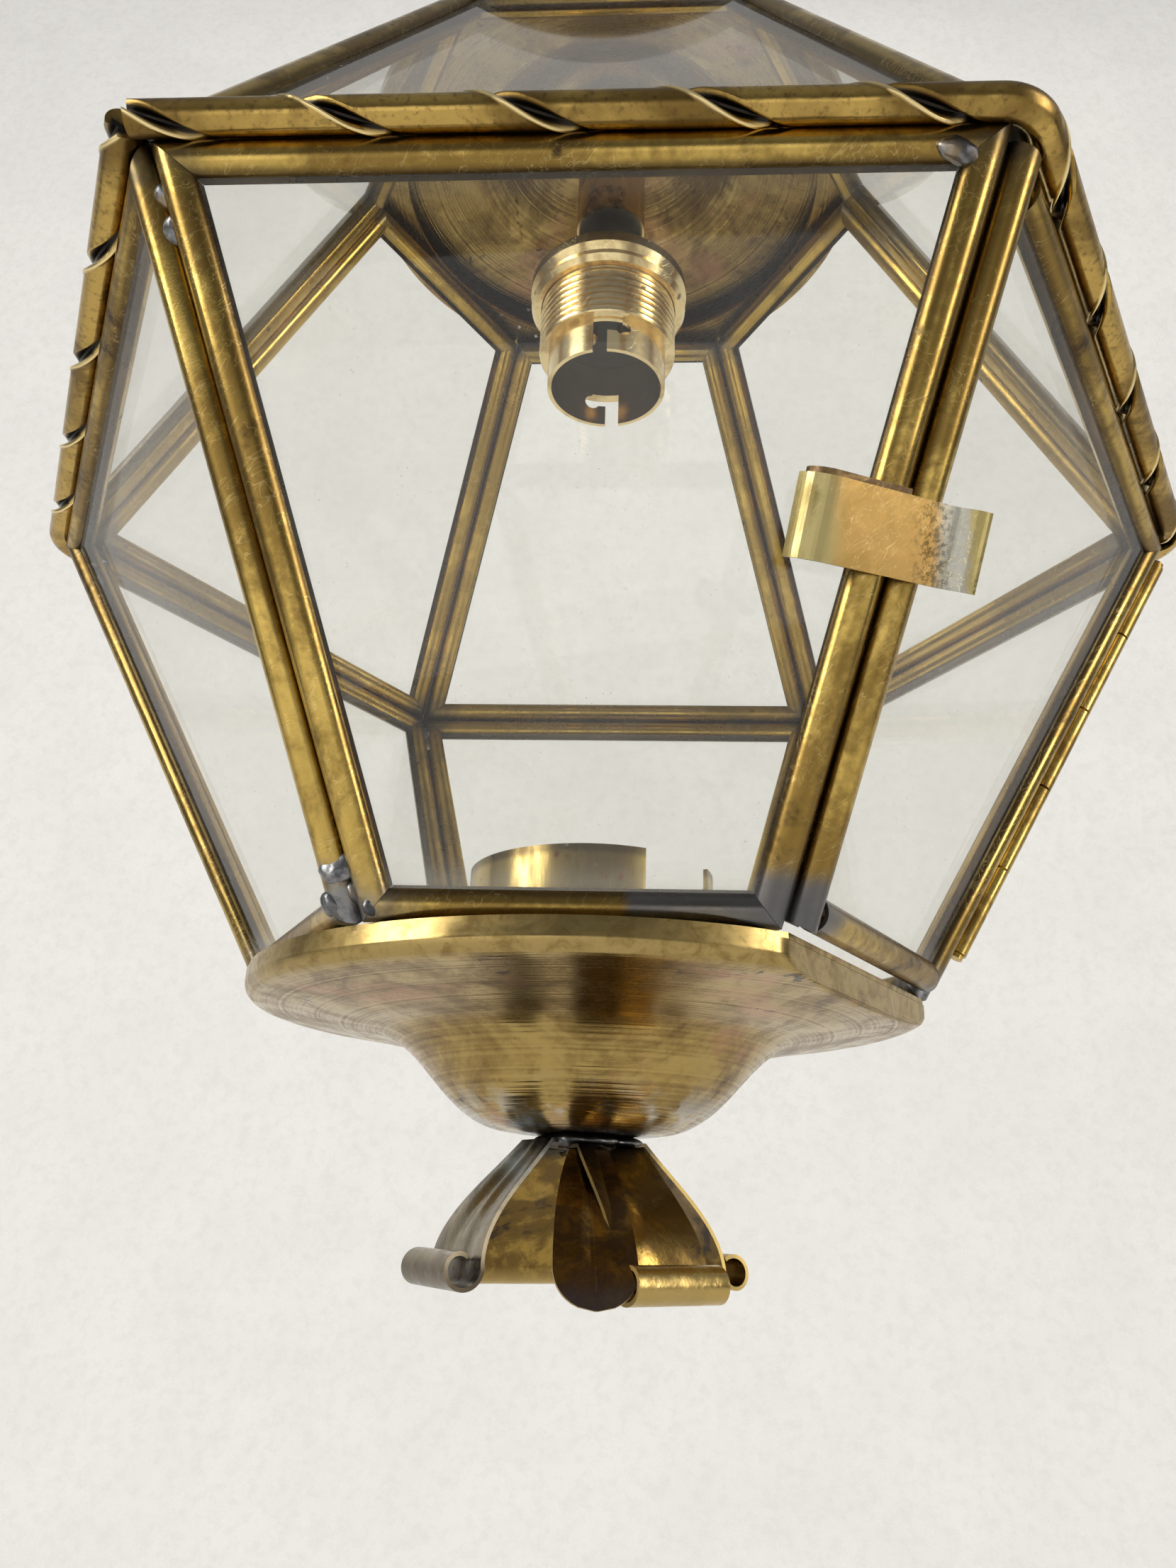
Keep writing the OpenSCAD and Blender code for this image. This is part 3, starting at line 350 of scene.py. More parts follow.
def dish_finish():
    """Spun sheet: fine rings of the lathe under a blotched brown patina, solder smears by the finial, and
    painted shade round the middle.
    """
    f = Finish("spun_dish_brass")
    radius = f.calc("MAXIMUM", f.attribute("spun_radius"), f.from_axis())
    rings = f.line_noise(radius, 0.55, 2.0)
    broad = f.line_noise(radius, 3.2, 2.0)
    clouds = f.noise(14.0, 5.0, 0.65, warp=1.2)
    small = f.noise(3.0, 4.0, 0.7, warp=0.8)
    tone = f.weigh(clouds, small, 0.28)
    tone = f.jog(tone, f.calc("SUBTRACT", rings, 0.5), 0.26)
    tone = f.jog(tone, f.calc("SUBTRACT", broad, 0.5), 0.08)
    colour = f.blend(f.window(tone, 0.36, 0.56), (0.42, 0.30, 0.105), (0.27, 0.18, 0.06))
    colour = f.blend(f.window(tone, 0.53, 0.66, 0.0, 0.75), colour, (0.12, 0.07, 0.03))
    rosy = f.window(f.noise(19.0, 3.0, 0.6, warp=0.6), 0.54, 0.66)
    colour = f.stain(rosy, 0.5, colour, (0.44, 0.225, 0.13))
    blots = f.calc("MULTIPLY", f.window(small, 0.60, 0.68), f.window(f.noise(17.0, 2.0, 0.5), 0.5, 0.6))
    colour = f.stain(blots, 0.85, colour, SOOT_AND_SHADE)
    lip = f.blend(f.window(small, 0.42, 0.7), (0.40, 0.29, 0.11), (0.26, 0.175, 0.06))
    on_rim = f.window(radius, 52.6, 53.6)
    colour = f.blend(on_rim, colour, lip)
    smear = f.calc("MULTIPLY", f.window(radius, 25.0, 18.0), f.window(f.noise(8.0, 3.0, 0.6), 0.47, 0.58))
    foot_dish_only = f.window(f.axes()[2], 0.0, -60.0)
    colour = f.stain(f.calc("MULTIPLY", smear, foot_dish_only), 0.75, colour, (0.50, 0.485, 0.44))
    # painted shade: dark umber round the middle of each dish, where the finial's root meets the foot dish
    shade_by_finial = f.window(f.jog(radius, small, 4.0), 14.5, 11.5)
    colour = f.blend(shade_by_finial, colour, UMBER)
    polish = f.window(tone, 0.38, 0.62, 0.17, 0.34)
    relief = f.bump(rings, 0.11, 0.6)
    relief = f.bump(broad, 0.08, 0.25, relief)
    relief = f.bump(f.noise(11.0, 3.0, 0.5), 0.35, 0.35, relief)
    return f.metal(colour, polish, relief)


def hoop_finish():
    """Heat-stained hoop: rust spots, a burnt top edge, and darker towards its foot."""
    f = Finish("heat_stained_hoop_brass")
    z = f.axes()[2]
    clouds = f.noise(8.0, 4.0, 0.6, (1, 1, 0.45), 0.6)
    small = f.noise(1.6, 4.0, 0.65)
    colour = f.blend(f.window(clouds, 0.42, 0.6), (0.56, 0.42, 0.15), (0.28, 0.195, 0.07))
    colour = f.blend(f.window(clouds, 0.62, 0.74), colour, (0.10, 0.07, 0.035))
    rust = f.calc("MULTIPLY", f.window(f.cells(3.4), 0.26, 0.12), f.window(small, 0.44, 0.6))
    colour = f.blend(rust, colour, (0.30, 0.085, 0.03))
    burnt_edge = f.window(z, -70.0, -68.6)
    colour = f.stain(burnt_edge, 0.7, colour, UMBER)
    # darker towards the hoop's foot
    dark_foot = f.window(z, -84.5, -87.5)
    colour = f.stain(dark_foot, 0.75, colour, SOOT_AND_SHADE)
    polish = f.window(clouds, 0.4, 0.7, 0.2, 0.42)
    relief = f.bump(f.noise(0.5, 2, 0.6, (1, 1, 0.15)), 0.02, 0.4)
    relief = f.bump(f.noise(7.0, 2, 0.5, (1, 1, 0.3)), 0.3, 0.5, relief)
    return f.metal(colour, polish, relief)


def leaf_finish():
    """Hammered leaves: mottled brown, golden cut edges, a painted highlight along the creases, grey solder at
    one root, and painted shade where they meet the dish.
    """
    f = Finish("hammered_leaf_brass")
    x, y, z = f.axes()
    clouds = f.noise(9.0, 5.0, 0.65, warp=1.2)
    small = f.noise(2.0, 4.0, 0.65)
    tone = f.weigh(clouds, small, 0.25)
    colour = f.blend(f.window(tone, 0.38, 0.52), (0.31, 0.20, 0.05), (0.14, 0.088, 0.027))
    colour = f.blend(f.window(tone, 0.54, 0.64), colour, (0.05, 0.036, 0.024))
    aged = f.blend(f.window(tone, 0.4, 0.58), (0.26, 0.17, 0.055), (0.09, 0.06, 0.036))
    petal_end = f.window(z, -126.0, -133.0)
    aged = f.stain(petal_end, 0.7, aged, (0.085, 0.06, 0.062))
    colour = f.blend(f.attribute("petal"), colour, aged)
    colour = f.stain(f.attribute("rolled"), 0.85, colour, (0.50, 0.36, 0.13))
    # painted highlight: the creases are coloured golden
    crease_highlight = f.window(f.attribute("fold"), 0.7, 0.98)
    colour = f.stain(crease_highlight, 0.45, colour, (0.62, 0.45, 0.16))
    cut = f.attribute("cut")
    colour = f.stain(cut, 0.8, colour, (0.46, 0.34, 0.13))
    near_root, near_roll = f.window(z, -122.0, -115.0), f.window(z, -127.5, -131.0)
    grey = f.blend(near_root, (0.30, 0.265, 0.20), (0.17, 0.20, 0.225))
    grey = f.blend(near_roll, grey, (0.09, 0.078, 0.07))
    grey = f.blend(f.window(clouds, 0.5, 0.66), grey, (0.17, 0.155, 0.13))
    front_left = f.attribute("front_left")
    colour = f.stain(front_left, 0.85, colour, grey)
    left = f.window(f.jog(x, small, 4.0), -5.0, -9.0)
    root = f.window(f.jog(z, clouds, 5.0), -115.0, -112.5)
    solder_root = f.calc("MULTIPLY", root, f.calc("MULTIPLY", left, front_left))
    colour = f.blend(solder_root, colour, (0.33, 0.39, 0.43))
    # painted shade: near black just under the dish, where the leaves meet it
    shade_under_dish = f.window(f.jog(z, small, 3.0), -113.6, -111.2)
    colour = f.stain(shade_under_dish, 0.8, colour, (0.05, 0.045, 0.04))
    polish = f.calc("MAXIMUM", f.window(tone, 0.35, 0.68, 0.2, 0.4), f.calc("MULTIPLY", cut, 0.5))
    relief = f.bump(f.noise(1.1, 3.0, 0.6), 0.06, 0.4)
    relief = f.bump(f.noise(4.5, 3.0, 0.5), 0.35, 0.55, relief)
    return f.metal(colour, polish, relief)


def latch_finish():
    """Rubbed strap: olive curl, golden and scratched in the middle, dark specks and a painted silvery
    highlight by the lip.
    """
    f = Finish("rubbed_latch_brass")
    clouds = f.noise(7.0, 4.0, 0.6, warp=0.6)
    small = f.noise(0.9, 4.0, 0.7)
    along = f.jog(f.axes()[0], small, 2.0)
    olive = f.blend(f.window(clouds, 0.40, 0.64), (0.43, 0.36, 0.16), (0.28, 0.22, 0.085))
    rubbed = f.blend(f.window(clouds, 0.40, 0.66), (0.58, 0.36, 0.12), (0.38, 0.24, 0.075))
    past_curl = f.window(along, 31.0, 34.5)
    highlight_past_stile = f.window(along, 45.0, 47.0)
    on_lip = f.window(along, 49.0, 50.5)
    colour = f.blend(past_curl, olive, rubbed)
    # painted highlight: a silvery grey band past the stile
    colour = f.blend(highlight_past_stile, colour, SILVERY_HIGHLIGHT)
    colour = f.blend(on_lip, colour, OLIVE)
    speckled = f.calc("MULTIPLY", f.window(along, 41.5, 45.0), f.window(along, 49.0, 46.5))
    specks = f.calc("MULTIPLY", speckled, f.window(small, 0.44, 0.60))
    colour = f.stain(specks, 0.7, colour, UMBER)
    hair = scratches(f, 1.1, 20.0)
    colour = f.stain(hair, 0.45, colour, PALE_GOLD)
    polish = f.window(clouds, 0.4, 0.7, 0.26, 0.40)
    relief = f.bump(hair, 0.03, 0.5)
    relief = f.bump(f.noise(5.0, 2.0, 0.5), 0.2, 0.4, relief)
    return f.metal(colour, polish, relief)


def catch_finish():
    return aged_brass("burnt_catch_brass", gold=(0.30, 0.2, 0.09), brown=(0.13, 0.085, 0.045),
                      dark=SOOT_AND_SHADE, patch=6.0, brown_from=0.36, dark_from=0.5, rough=(0.32, 0.5))


def holder_finish():
    return aged_brass("lamp_holder_brass", gold=(0.86, 0.68, 0.36), brown=(0.60, 0.44, 0.20),
                      dark=(0.22, 0.15, 0.07), patch=14.0, brown_from=0.47, dark_from=0.66,
                      rough=(0.16, 0.32))


def fitting_finish():
    return aged_brass("turned_fitting_brass", gold=(0.80, 0.62, 0.32), patch=12.0, brown_from=0.46,
                      dark_from=0.64, rough=(0.2, 0.4))


def hinge_finish():
    return aged_brass("drawn_hinge_brass", patch=10.0, brown_from=0.44, dark_from=0.6)


def solder_finish():
    f = Finish("dull_solder")
    clouds = f.noise(3.5, 4.0, 0.6, warp=0.5)
    colour = f.blend(f.window(clouds, 0.36, 0.6), (0.26, 0.265, 0.275), (0.075, 0.075, 0.08))
    colour = f.stain(f.window(f.noise(6.0, 2.0, 0.5), 0.55, 0.7), 0.5, colour, (0.42, 0.30, 0.14))
    relief = f.bump(f.noise(1.2, 3.0, 0.6), 0.12, 0.5)
    return f.metal(colour, f.window(clouds, 0.3, 0.7, 0.28, 0.5), relief)


def plastic_finish():
    f = Finish("moulded_black_plastic")
    wear = f.noise(5.0, 3.0, 0.6)
    colour = f.blend(f.window(wear, 0.4, 0.7), (0.012, 0.012, 0.012), (0.035, 0.032, 0.03))
    relief = f.bump(f.noise(0.35, 2.0, 0.5), 0.02, 0.4)
    return f.done(f.surface(colour, f.window(wear, 0.3, 0.7, 0.32, 0.5), relief))


def spring_finish():
    f = Finish("drawn_spring_wire")
    fine = f.noise(0.3, 2.0, 0.6)
    colour = f.blend(f.window(fine, 0.4, 0.7), (0.62, 0.61, 0.59), (0.36, 0.35, 0.33))
    return f.metal(colour, f.window(fine, 0.3, 0.7, 0.18, 0.35), f.bump(fine, 0.01, 0.3))


def glass_finish():
    """Clear sheet: a mirror sheen that grows toward grazing views, and a thin film of dust."""
    f = Finish("clear_sheet_glass")
    film = f.noise(38.0, 4.0, 0.6, warp=0.8)
    specks = f.window(f.cells(2.6), 0.11, 0.04)
    specks = f.calc("MULTIPLY", specks, f.window(f.noise(14, 2, 0.5), 0.5, 0.7))
    z = f.axes()[2]
    foot = f.window(z, -79.0, -86.0, 0.0, 0.22)
    girdle = f.window(f.calc("ABSOLUTE", z), 8.0, 2.0, 0.0, 0.10)
    haze = f.jog(f.window(film, 0.4, 0.8, 0.008, 0.045), specks, 0.4)
    haze = f.calc("ADD", haze, f.calc("ADD", foot, girdle), clamp=True)
    slant = f.add("ShaderNodeLayerWeight").outputs["Facing"]
    sheen = f.calc("ADD", f.calc("MULTIPLY", f.calc("POWER", slant, 4.0), 0.45), 0.025)
    clear = f.add("ShaderNodeBsdfTransparent", [("Color", (0.972, 0.975, 0.965, 1))]).outputs[0]
    ripple = f.bump(f.noise(42.0, 1.0, 0.4), 0.6, 0.12)
    mirror = f.add("ShaderNodeBsdfGlossy", [
        ("Color", (1, 1, 1, 1)), ("Roughness", f.window(film, 0.35, 0.75, 0.01, 0.08)),
        ("Normal", ripple)]).outputs[0]
    dust = f.add("ShaderNodeBsdfPrincipled", [
        ("Base Color", (0.72, 0.69, 0.62, 1)), ("Roughness", 0.9)]).outputs[0]
    return f.done(f.layer(haze, f.layer(sheen, clear, mirror), dust))


finishes = {
    "came_brass": came_finish(),
    "clear_glass": glass_finish(),
    "rope_brass": rope_finish(),
    "dish_brass": dish_finish(),
    "hoop_brass": hoop_finish(),
    "leaf_brass": leaf_finish(),
    "latch_brass": latch_finish(),
    "hinge_brass": hinge_finish(),
    "fitting_brass": fitting_finish(),
    "holder_brass": holder_finish(),
    "black_plastic": plastic_finish(),
    "spring_steel": spring_finish(),
}
solder = solder_finish()


def paint_nodes():
    """Gives each CAD node the finish of its slot; the burnt catch has its own."""
    burnt = {"latch_catch": catch_finish()}
    slot_of = {p["node"]: p["material_slot"] for p in frame["record"]["subparts"]}
    for node, obj in NODES.items():
        obj.data.materials.clear()
        obj.data.materials.append(burnt.get(node, finishes[slot_of[node]]))


paint_nodes()


# ---------------------------------------------------------------- growing pieces from trees

def new_tree(name, inputs):
    tree = bpy.data.node_groups.new(name, "GeometryNodeTree")
    tree.interface.new_socket(name="Geometry", in_out="INPUT", socket_type="NodeSocketGeometry")
    for label, kind, value in inputs:
        socket = tree.interface.new_socket(name=label, in_out="INPUT", socket_type=kind)
        if value is not None:
            socket.default_value = value
    tree.interface.new_socket(name="Geometry", in_out="OUTPUT", socket_type="NodeSocketGeometry")
    return tree


def reckon(tree, operation, a, b=None):
    """The result of one sum on a, or on a and b."""
    values = [(0, a)] if b is None else [(0, a), (1, b)]
    return wire(tree, "ShaderNodeMath", values, operation=operation).outputs[0]


def ramp(tree, value, low, high):
    """Soft step from 0 to 1 as value goes from low to high."""
    links = [("Value", value), ("From Min", low), ("From Max", high)]
    return wire(tree, "ShaderNodeMapRange", links, interpolation_type="SMOOTHSTEP").outputs[0]


def scaled(tree, vector, by):
    return wire(tree, "ShaderNodeVectorMath", [(0, vector), ("Scale", by)], operation="SCALE").outputs[0]


def store(tree, geometry, label, value):
    """Keeps a value with the points, for the finish to read."""
    return wire(tree, "GeometryNodeStoreNamedAttribute",
                [("Geometry", geometry), ("Name", label), ("Value", value)],
                data_type="FLOAT", domain="POINT").outputs[0]


def circle(tree, points, radius):
    return wire(tree, "GeometryNodeCurvePrimitiveCircle",
                [("Resolution", points), ("Radius", radius)]).outputs["Curve"]


def swept(tree, path, section):
    """A solid bar with this section along the path."""
    return wire(tree, "GeometryNodeCurveToMesh",
                [("Curve", path), ("Profile Curve", section), ("Fill Caps", True)]).outputs[0]


def finish_off(tree, geometry, material):
    """Smooth, real and painted, and out of the tree."""
    smooth = wire(tree, "GeometryNodeSetShadeSmooth", [("Geometry", geometry)])
    real = wire(tree, "GeometryNodeRealizeInstances", [("Geometry", smooth.outputs[0])])
    done = wire(tree, "GeometryNodeSetMaterial", [("Geometry", real.outputs[0]), ("Material", material)])
    wire(tree, "NodeGroupOutput", [(0, done.outputs[0])])


def grow(name, mesh, tree, values):
    """Runs a tree on a mesh and returns the result as a plain mesh object."""
    seed = stand(name + "_seed", mesh)
    modifier = seed.modifiers.new("grow", "NODES")
    modifier.node_group = tree
    for item in tree.interface.items_tree:
        if item.in_out == "INPUT" and item.name in values:
            modifier[item.identifier] = values[item.name]
    graph = bpy.context.evaluated_depsgraph_get()
    plain = bpy.data.meshes.new_from_object(seed.evaluated_get(graph))
    plain.name = name
    obj = stand(name, plain)
    bpy.data.objects.remove(seed)
    return obj


def seed_mesh(name, points, edges=()):
    mesh = bpy.data.meshes.new(name)
    mesh.from_pydata(points, edges, [])
    return mesh


# ---------------------------------------------------------------- twisted trim

# Angles round the bar in radians: where the seam's groove sinks and rises, and where its lip stands
GROOVE_SINKS, GROOVE_RISES = (-0.78, -0.30), (0.22, 0.06)
LIP_AT, LIP_FLANK = 0.34, (0.22, 0.05)


def trim_tree():
    """A round bar with a seam down one side, twisted as it follows the path."""
    tree = new_tree("twisted_trim", [
        ("Trim radius", "NodeSocketFloat", 0.0023),
        ("Twist pitch", "NodeSocketFloat", 0.02),
        ("Start angle", "NodeSocketFloat", 0.0),
        ("Slit depth", "NodeSocketFloat", 0.5),
        ("Lip height", "NodeSocketFloat", 0.1),
        ("Corner radius", "NodeSocketFloat", 0.006),
        ("Ring spacing", "NodeSocketFloat", 0.0005),
        ("Finish", "NodeSocketMaterial", None),
    ])
    inp = wire(tree, "NodeGroupInput").outputs
    curve = wire(tree, "GeometryNodeMeshToCurve", [("Mesh", inp["Geometry"])])
    soft = wire(tree, "GeometryNodeFilletCurve",
                [("Curve", curve.outputs[0]), ("Radius", inp["Corner radius"]), ("Count", 12)], mode="POLY")
    even = wire(tree, "GeometryNodeResampleCurve",
                [("Curve", soft.outputs[0]), ("Length", inp["Ring spacing"])], mode="LENGTH")
    run = wire(tree, "GeometryNodeSplineParameter").outputs["Length"]
    angle = reckon(tree, "MULTIPLY", reckon(tree, "DIVIDE", run, inp["Twist pitch"]), 2 * math.pi)
    begun = reckon(tree, "ADD", angle, inp["Start angle"])
    path = wire(tree, "GeometryNodeSetCurveTilt", [("Curve", even.outputs[0]), ("Tilt", begun)]).outputs[0]
    ring = circle(tree, 72, inp["Trim radius"])
    spot = wire(tree, "GeometryNodeInputPosition").outputs[0]
    xyz = wire(tree, "ShaderNodeSeparateXYZ", [(0, spot)]).outputs
    polar = reckon(tree, "ARCTAN2", xyz[1], xyz[0])
    deep = reckon(tree, "MULTIPLY", ramp(tree, polar, *GROOVE_SINKS), ramp(tree, polar, *GROOVE_RISES))
    off = reckon(tree, "ABSOLUTE", reckon(tree, "SUBTRACT", polar, LIP_AT))
    lip = ramp(tree, off, *LIP_FLANK)
    marked = store(tree, store(tree, ring, "deep", deep), "lip", lip)
    sunk = reckon(tree, "SUBTRACT", 1.0, reckon(tree, "MULTIPLY", deep, inp["Slit depth"]))
    share = reckon(tree, "ADD", sunk, reckon(tree, "MULTIPLY", lip, inp["Lip height"]))
    section = wire(tree, "GeometryNodeSetPosition",
                   [("Geometry", marked), ("Position", scaled(tree, spot, share))]).outputs[0]
    finish_off(tree, swept(tree, path, section), inp["Finish"])
    return tree


def twisted_trim():
    """One length of trim all round the girdle, with its open ends at the front left corner."""
    corner_r = TRIM_APOTHEM / math.cos(math.radians(30)) - TRIM_INSET
    azimuths = [TRIM_START] + [-60 + 60 * k for k in range(5)] + [TRIM_END]
    points = [around(corner_r, azimuth, 0) for azimuth in azimuths]
    path = seed_mesh("trim_path", points, [(i, i + 1) for i in range(len(points) - 1)])
    obj = grow("girdle_trim", path, trim_tree(), {
        "Trim radius": TRIM_R / 1000 * TRIM_FULLNESS,
        "Twist pitch": TRIM_PITCH / 1000,
        "Start angle": 0.0,
        "Slit depth": 0.55,
        "Lip height": 0.09,
        "Corner radius": 0.007,
        "Ring spacing": 0.00055,
        "Finish": finishes["rope_brass"],
    })
    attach(obj, "lantern")
    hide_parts("rope_front", "rope_front_right", "rope_back_right",
                "rope_back", "rope_back_left", "rope_front_left")


twisted_trim()


# ---------------------------------------------------------------- spun dishes

def cubic(p, s):
    """A point on the curve with these four control points."""
    weights = ((1 - s) ** 3, 3 * s * (1 - s) ** 2, 3 * s * s * (1 - s), s ** 3)
    return tuple(sum(w * point[k] for w, point in zip(weights, p)) for k in (0, 1))


def direction(line, i):
    """The way a line runs at its point i, as a unit (across, up) pair."""
    before, after = line[max(i - 1, 0)], line[min(i + 1, len(line) - 1)]
    dx, dz = after[0] - before[0], after[1] - before[1]
    size = math.hypot(dx, dz) or 1
    return dx / size, dz / size


def eased(points, parts):
    """A smooth line through the points, as (radius, depth) pairs."""
    padded = [points[0]] + points + [points[-1]]
    line = []
    for a, b, c, d in zip(padded, padded[1:], padded[2:], padded[3:]):
        for i in range(parts):
            t = i / parts
            line.append(tuple(
                0.5 * (2 * b[k] + (c[k] - a[k]) * t + (2 * a[k] - 5 * b[k] + 4 * c[k] - d[k]) * t * t
                       + (3 * b[k] - a[k] - 3 * c[k] + d[k]) * t ** 3) for k in (0, 1)))
    return line


def dish_profile(rim, depth, lip, middle, hole=0.0):
    """From the rim over the lip, along the flare and down the bowl to the middle."""
    shelf = rim * 0.62
    run = rim - shelf
    level = lip + run * 0.17
    rolled_rim = [(rim, 0), (rim, lip * 0.35), (rim - 0.05, lip - 1.5), (rim - 0.7, lip - 0.4)]
    flare = [(rim - 2.2, lip + 0.3), (rim - 6.5, lip + 1.0), (shelf + run * 0.4, level - run * 0.07),
             (shelf + run * 0.2, level - 0.62), (shelf, level)]
    bowl_path = [(shelf, level), (shelf - rim * 0.14, level + 1.2), (shelf - rim * 0.2, depth - 1.8),
                 (middle + rim * 0.12, depth - 0.5)]
    bowl = [cubic(bowl_path, i / 40) for i in range(41)]
    foot = eased([bowl[-1], (middle + rim * 0.06, depth - 0.12), (middle, depth)], 5)[1:]
    flat = [(middle + (hole - middle) * i / 6, depth) for i in range(7)]
    return eased(rolled_rim + flare, 6) + bowl + foot + flat


def pressed_in(r, azimuth, wall):
    """A radius cut back to the flat that the door needs."""
    aside = math.cos(math.radians(azimuth - DOOR_AZIMUTH))
    return min(r, (DOOR_FLAT - wall) / aside) if aside > 0.5 else r


def spun_dish(name, node, profile, rim_z, up, door_side=False):
    """Turns the profile; the side by the door is pressed flat where door_side is set."""
    count = len(profile)
    inner = []
    for i, (r, d) in enumerate(profile):
        dr, dd = direction(profile, i)
        inner.append((max(r - dd * DISH_WALL, 0.0), max(d + dr * DISH_WALL, 0.0)))
    line = profile + inner[::-1]
    spun = [r for r, d in profile] + [r for r, d in profile][::-1]
    verts, radii, faces = [], [], []
    for j in range(DISH_STEPS):
        azimuth = 360 * j / DISH_STEPS
        for k, (r, d) in enumerate(line):
            if door_side:
                r = pressed_in(r, azimuth, DISH_WALL if k >= count else 0.0)
            verts.append(around(max(r, POLE_R), azimuth, rim_z + d * up))
            radii.append(spun[k])
    size = len(line)
    for j in range(DISH_STEPS):
        a, b = j * size, (j + 1) % DISH_STEPS * size
        for k in range(size):
            n = (k + 1) % size
            quad = (a + k, b + k, b + n, a + n)
            faces.append(quad if up > 0 else quad[::-1])
    mesh = sheet_mesh(name, verts, faces, finishes["dish_brass"])
    mark(mesh, "spun_radius", "POINT", radii)
    obj = stand(name, mesh)
    mesh.validate()
    mesh.set_sharp_from_angle(angle=math.radians(60))
    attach(obj, "lantern")
    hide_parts(node)


spun_dish("foot_dish_spun", "foot_dish", dish_profile(FOOT_RIM_R, FOOT_DEPTH, FOOT_LIP, FOOT_MIDDLE),
          FOOT_RIM_Z, -1, door_side=True)
spun_dish("top_dish_spun", "top_dish", dish_profile(TOP_RIM_R, TOP_DEPTH, TOP_LIP, TOP_MIDDLE, TOP_HOLE),
          TOP_RIM_Z, 1)


# ---------------------------------------------------------------- finial leaves

def scroll_line(depth, bend, reach, widths, taper):
    """Stations down a scroll leaf: distance out, height, half width, fold depth, rolled share."""
    root_w, end_w = widths
    wall, roll_z = reach - SCROLL_R, SCROLL_R - depth
    path = [(bend, 0), (bend + 5.5, -depth * 0.3), (wall, -depth * 0.55), (wall, roll_z)]
    line = [(2.0 + (bend - 2.0) * i / 6, 0.0, root_w / 2, 0.0, 0.0) for i in range(6)]
    for i in range(31):
        s = i / 30
        fold = SCROLL_FOLD * math.sin(math.pi * s) ** 0.7
        line.append((*cubic(path, s), (root_w + (end_w - root_w) * s) / 2, fold, 0.0))
    for i in range(1, 45):
        s = i / 44
        a = math.radians(180 + s * SCROLL_TURN)
        r = SCROLL_R - SCROLL_CLOSING * s
        half = end_w / 2 * (1 - taper * s * 0.5)
        line.append((reach + r * math.cos(a), roll_z + r * math.sin(a), half, 0.0, min(1.0, s * 5)))
    return line


def petal_line(depth, bend, reach, widths):
    """Stations down a petal, which swells and then rounds off at its tip."""
    root_w, broad_w = widths
    path = [(bend, 0), (bend + 1.5, -depth * 0.2), (reach - 1.5, -depth * 0.65), (reach, -depth)]
    line = [(1.5 + (bend - 1.5) * i / 5, 0.0, root_w / 2, 0.0, 0.0) for i in range(5)]
    for i in range(49):
        s = i / 48
        swell = (root_w + (broad_w - root_w) * math.sin(math.pi / 2 * min(s / 0.8, 1))) / 2
        tip = math.sqrt(max(1 - (max(s + PETAL_TIP - 1, 0) / PETAL_TIP) ** 2, 0))
        fold = PETAL_FOLD * math.sin(math.pi * s)
        line.append((*cubic(path, s), max(swell * tip, 0.25), fold, 0.0))
    return line


def bent_sheet(verts, faces, marks, line, turn, level, folds, front_left):
    """Adds one leaf: two skins and the cut edges between them, from its stations."""
    base = len(verts)
    count, last = len(line), LEAF_ROWS - 1
    cos, sin = math.cos(math.radians(turn)), math.sin(math.radians(turn))
    for side in (0, 1):
        for i, (x, z, half, fold, rolled) in enumerate(line):
            dx, dz = direction(line, i)
            for j in range(LEAF_ROWS):
                t = -1 + 2 * j / last
                crest = max([0.0] + [(1 - abs(t - middle) / CREASE_HALF) * high for middle, high in folds])
                lift = fold * crest + LEAF_T * side
                px, py, pz = x + dz * lift, t * half, z - dx * lift
                verts.append(place(px * cos - py * sin, px * sin + py * cos, level + pz))
                marks["fold"].append(crest if fold > 0.15 else 0.0)
                marks["rolled"].append(rolled if side else rolled * 0.5)
                marks["front_left"].append(front_left)

    def at(side, i, j):
        return base + side * count * LEAF_ROWS + i * LEAF_ROWS + j

    for i in range(count - 1):
        n = i + 1
        for j in range(last):
            faces.append((at(0, i, j), at(0, i, j + 1), at(0, n, j + 1), at(0, n, j)))
            faces.append((at(1, i, j), at(1, n, j), at(1, n, j + 1), at(1, i, j + 1)))
            marks["cut"] += [0.0, 0.0]
        faces.append((at(0, i, 0), at(0, n, 0), at(1, n, 0), at(1, i, 0)))
        faces.append((at(0, i, last), at(1, i, last), at(1, n, last), at(0, n, last)))
        marks["cut"] += [1.0, 1.0]
    end = count - 1
    for j in range(last):
        faces.append((at(0, 0, j), at(1, 0, j), at(1, 0, j + 1), at(0, 0, j + 1)))
        faces.append((at(0, end, j), at(0, end, j + 1), at(1, end, j + 1), at(1, end, j)))
        marks["cut"] += [1.0, 1.0]


def leaf_piece(name, node, line, layer, arms):
    """Two opposite leaves of one strip; an arm is its azimuth, its creases and 1 for the grey one."""
    verts, faces = [], []
    marks = {"fold": [], "rolled": [], "front_left": [], "cut": []}
    for turn, folds, front_left in arms:
        bent_sheet(verts, faces, marks, line, turn, DISH_FOOT - layer * LEAF_LEVEL, folds, front_left)
    marks["petal"] = [1.0 if node == "finial_petals" else 0.0] * len(verts)
    mesh = sheet_mesh(name, verts, faces, finishes["leaf_brass"])
    for label in ("fold", "rolled", "front_left", "petal"):
        mark(mesh, label, "POINT", marks[label])
    mark(mesh, "cut", "FACE", marks["cut"])
    obj = stand(name, mesh)
    mesh.validate()
    mesh.set_sharp_from_angle(angle=math.radians(50))
    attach(obj, "lantern")
    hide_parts(node)


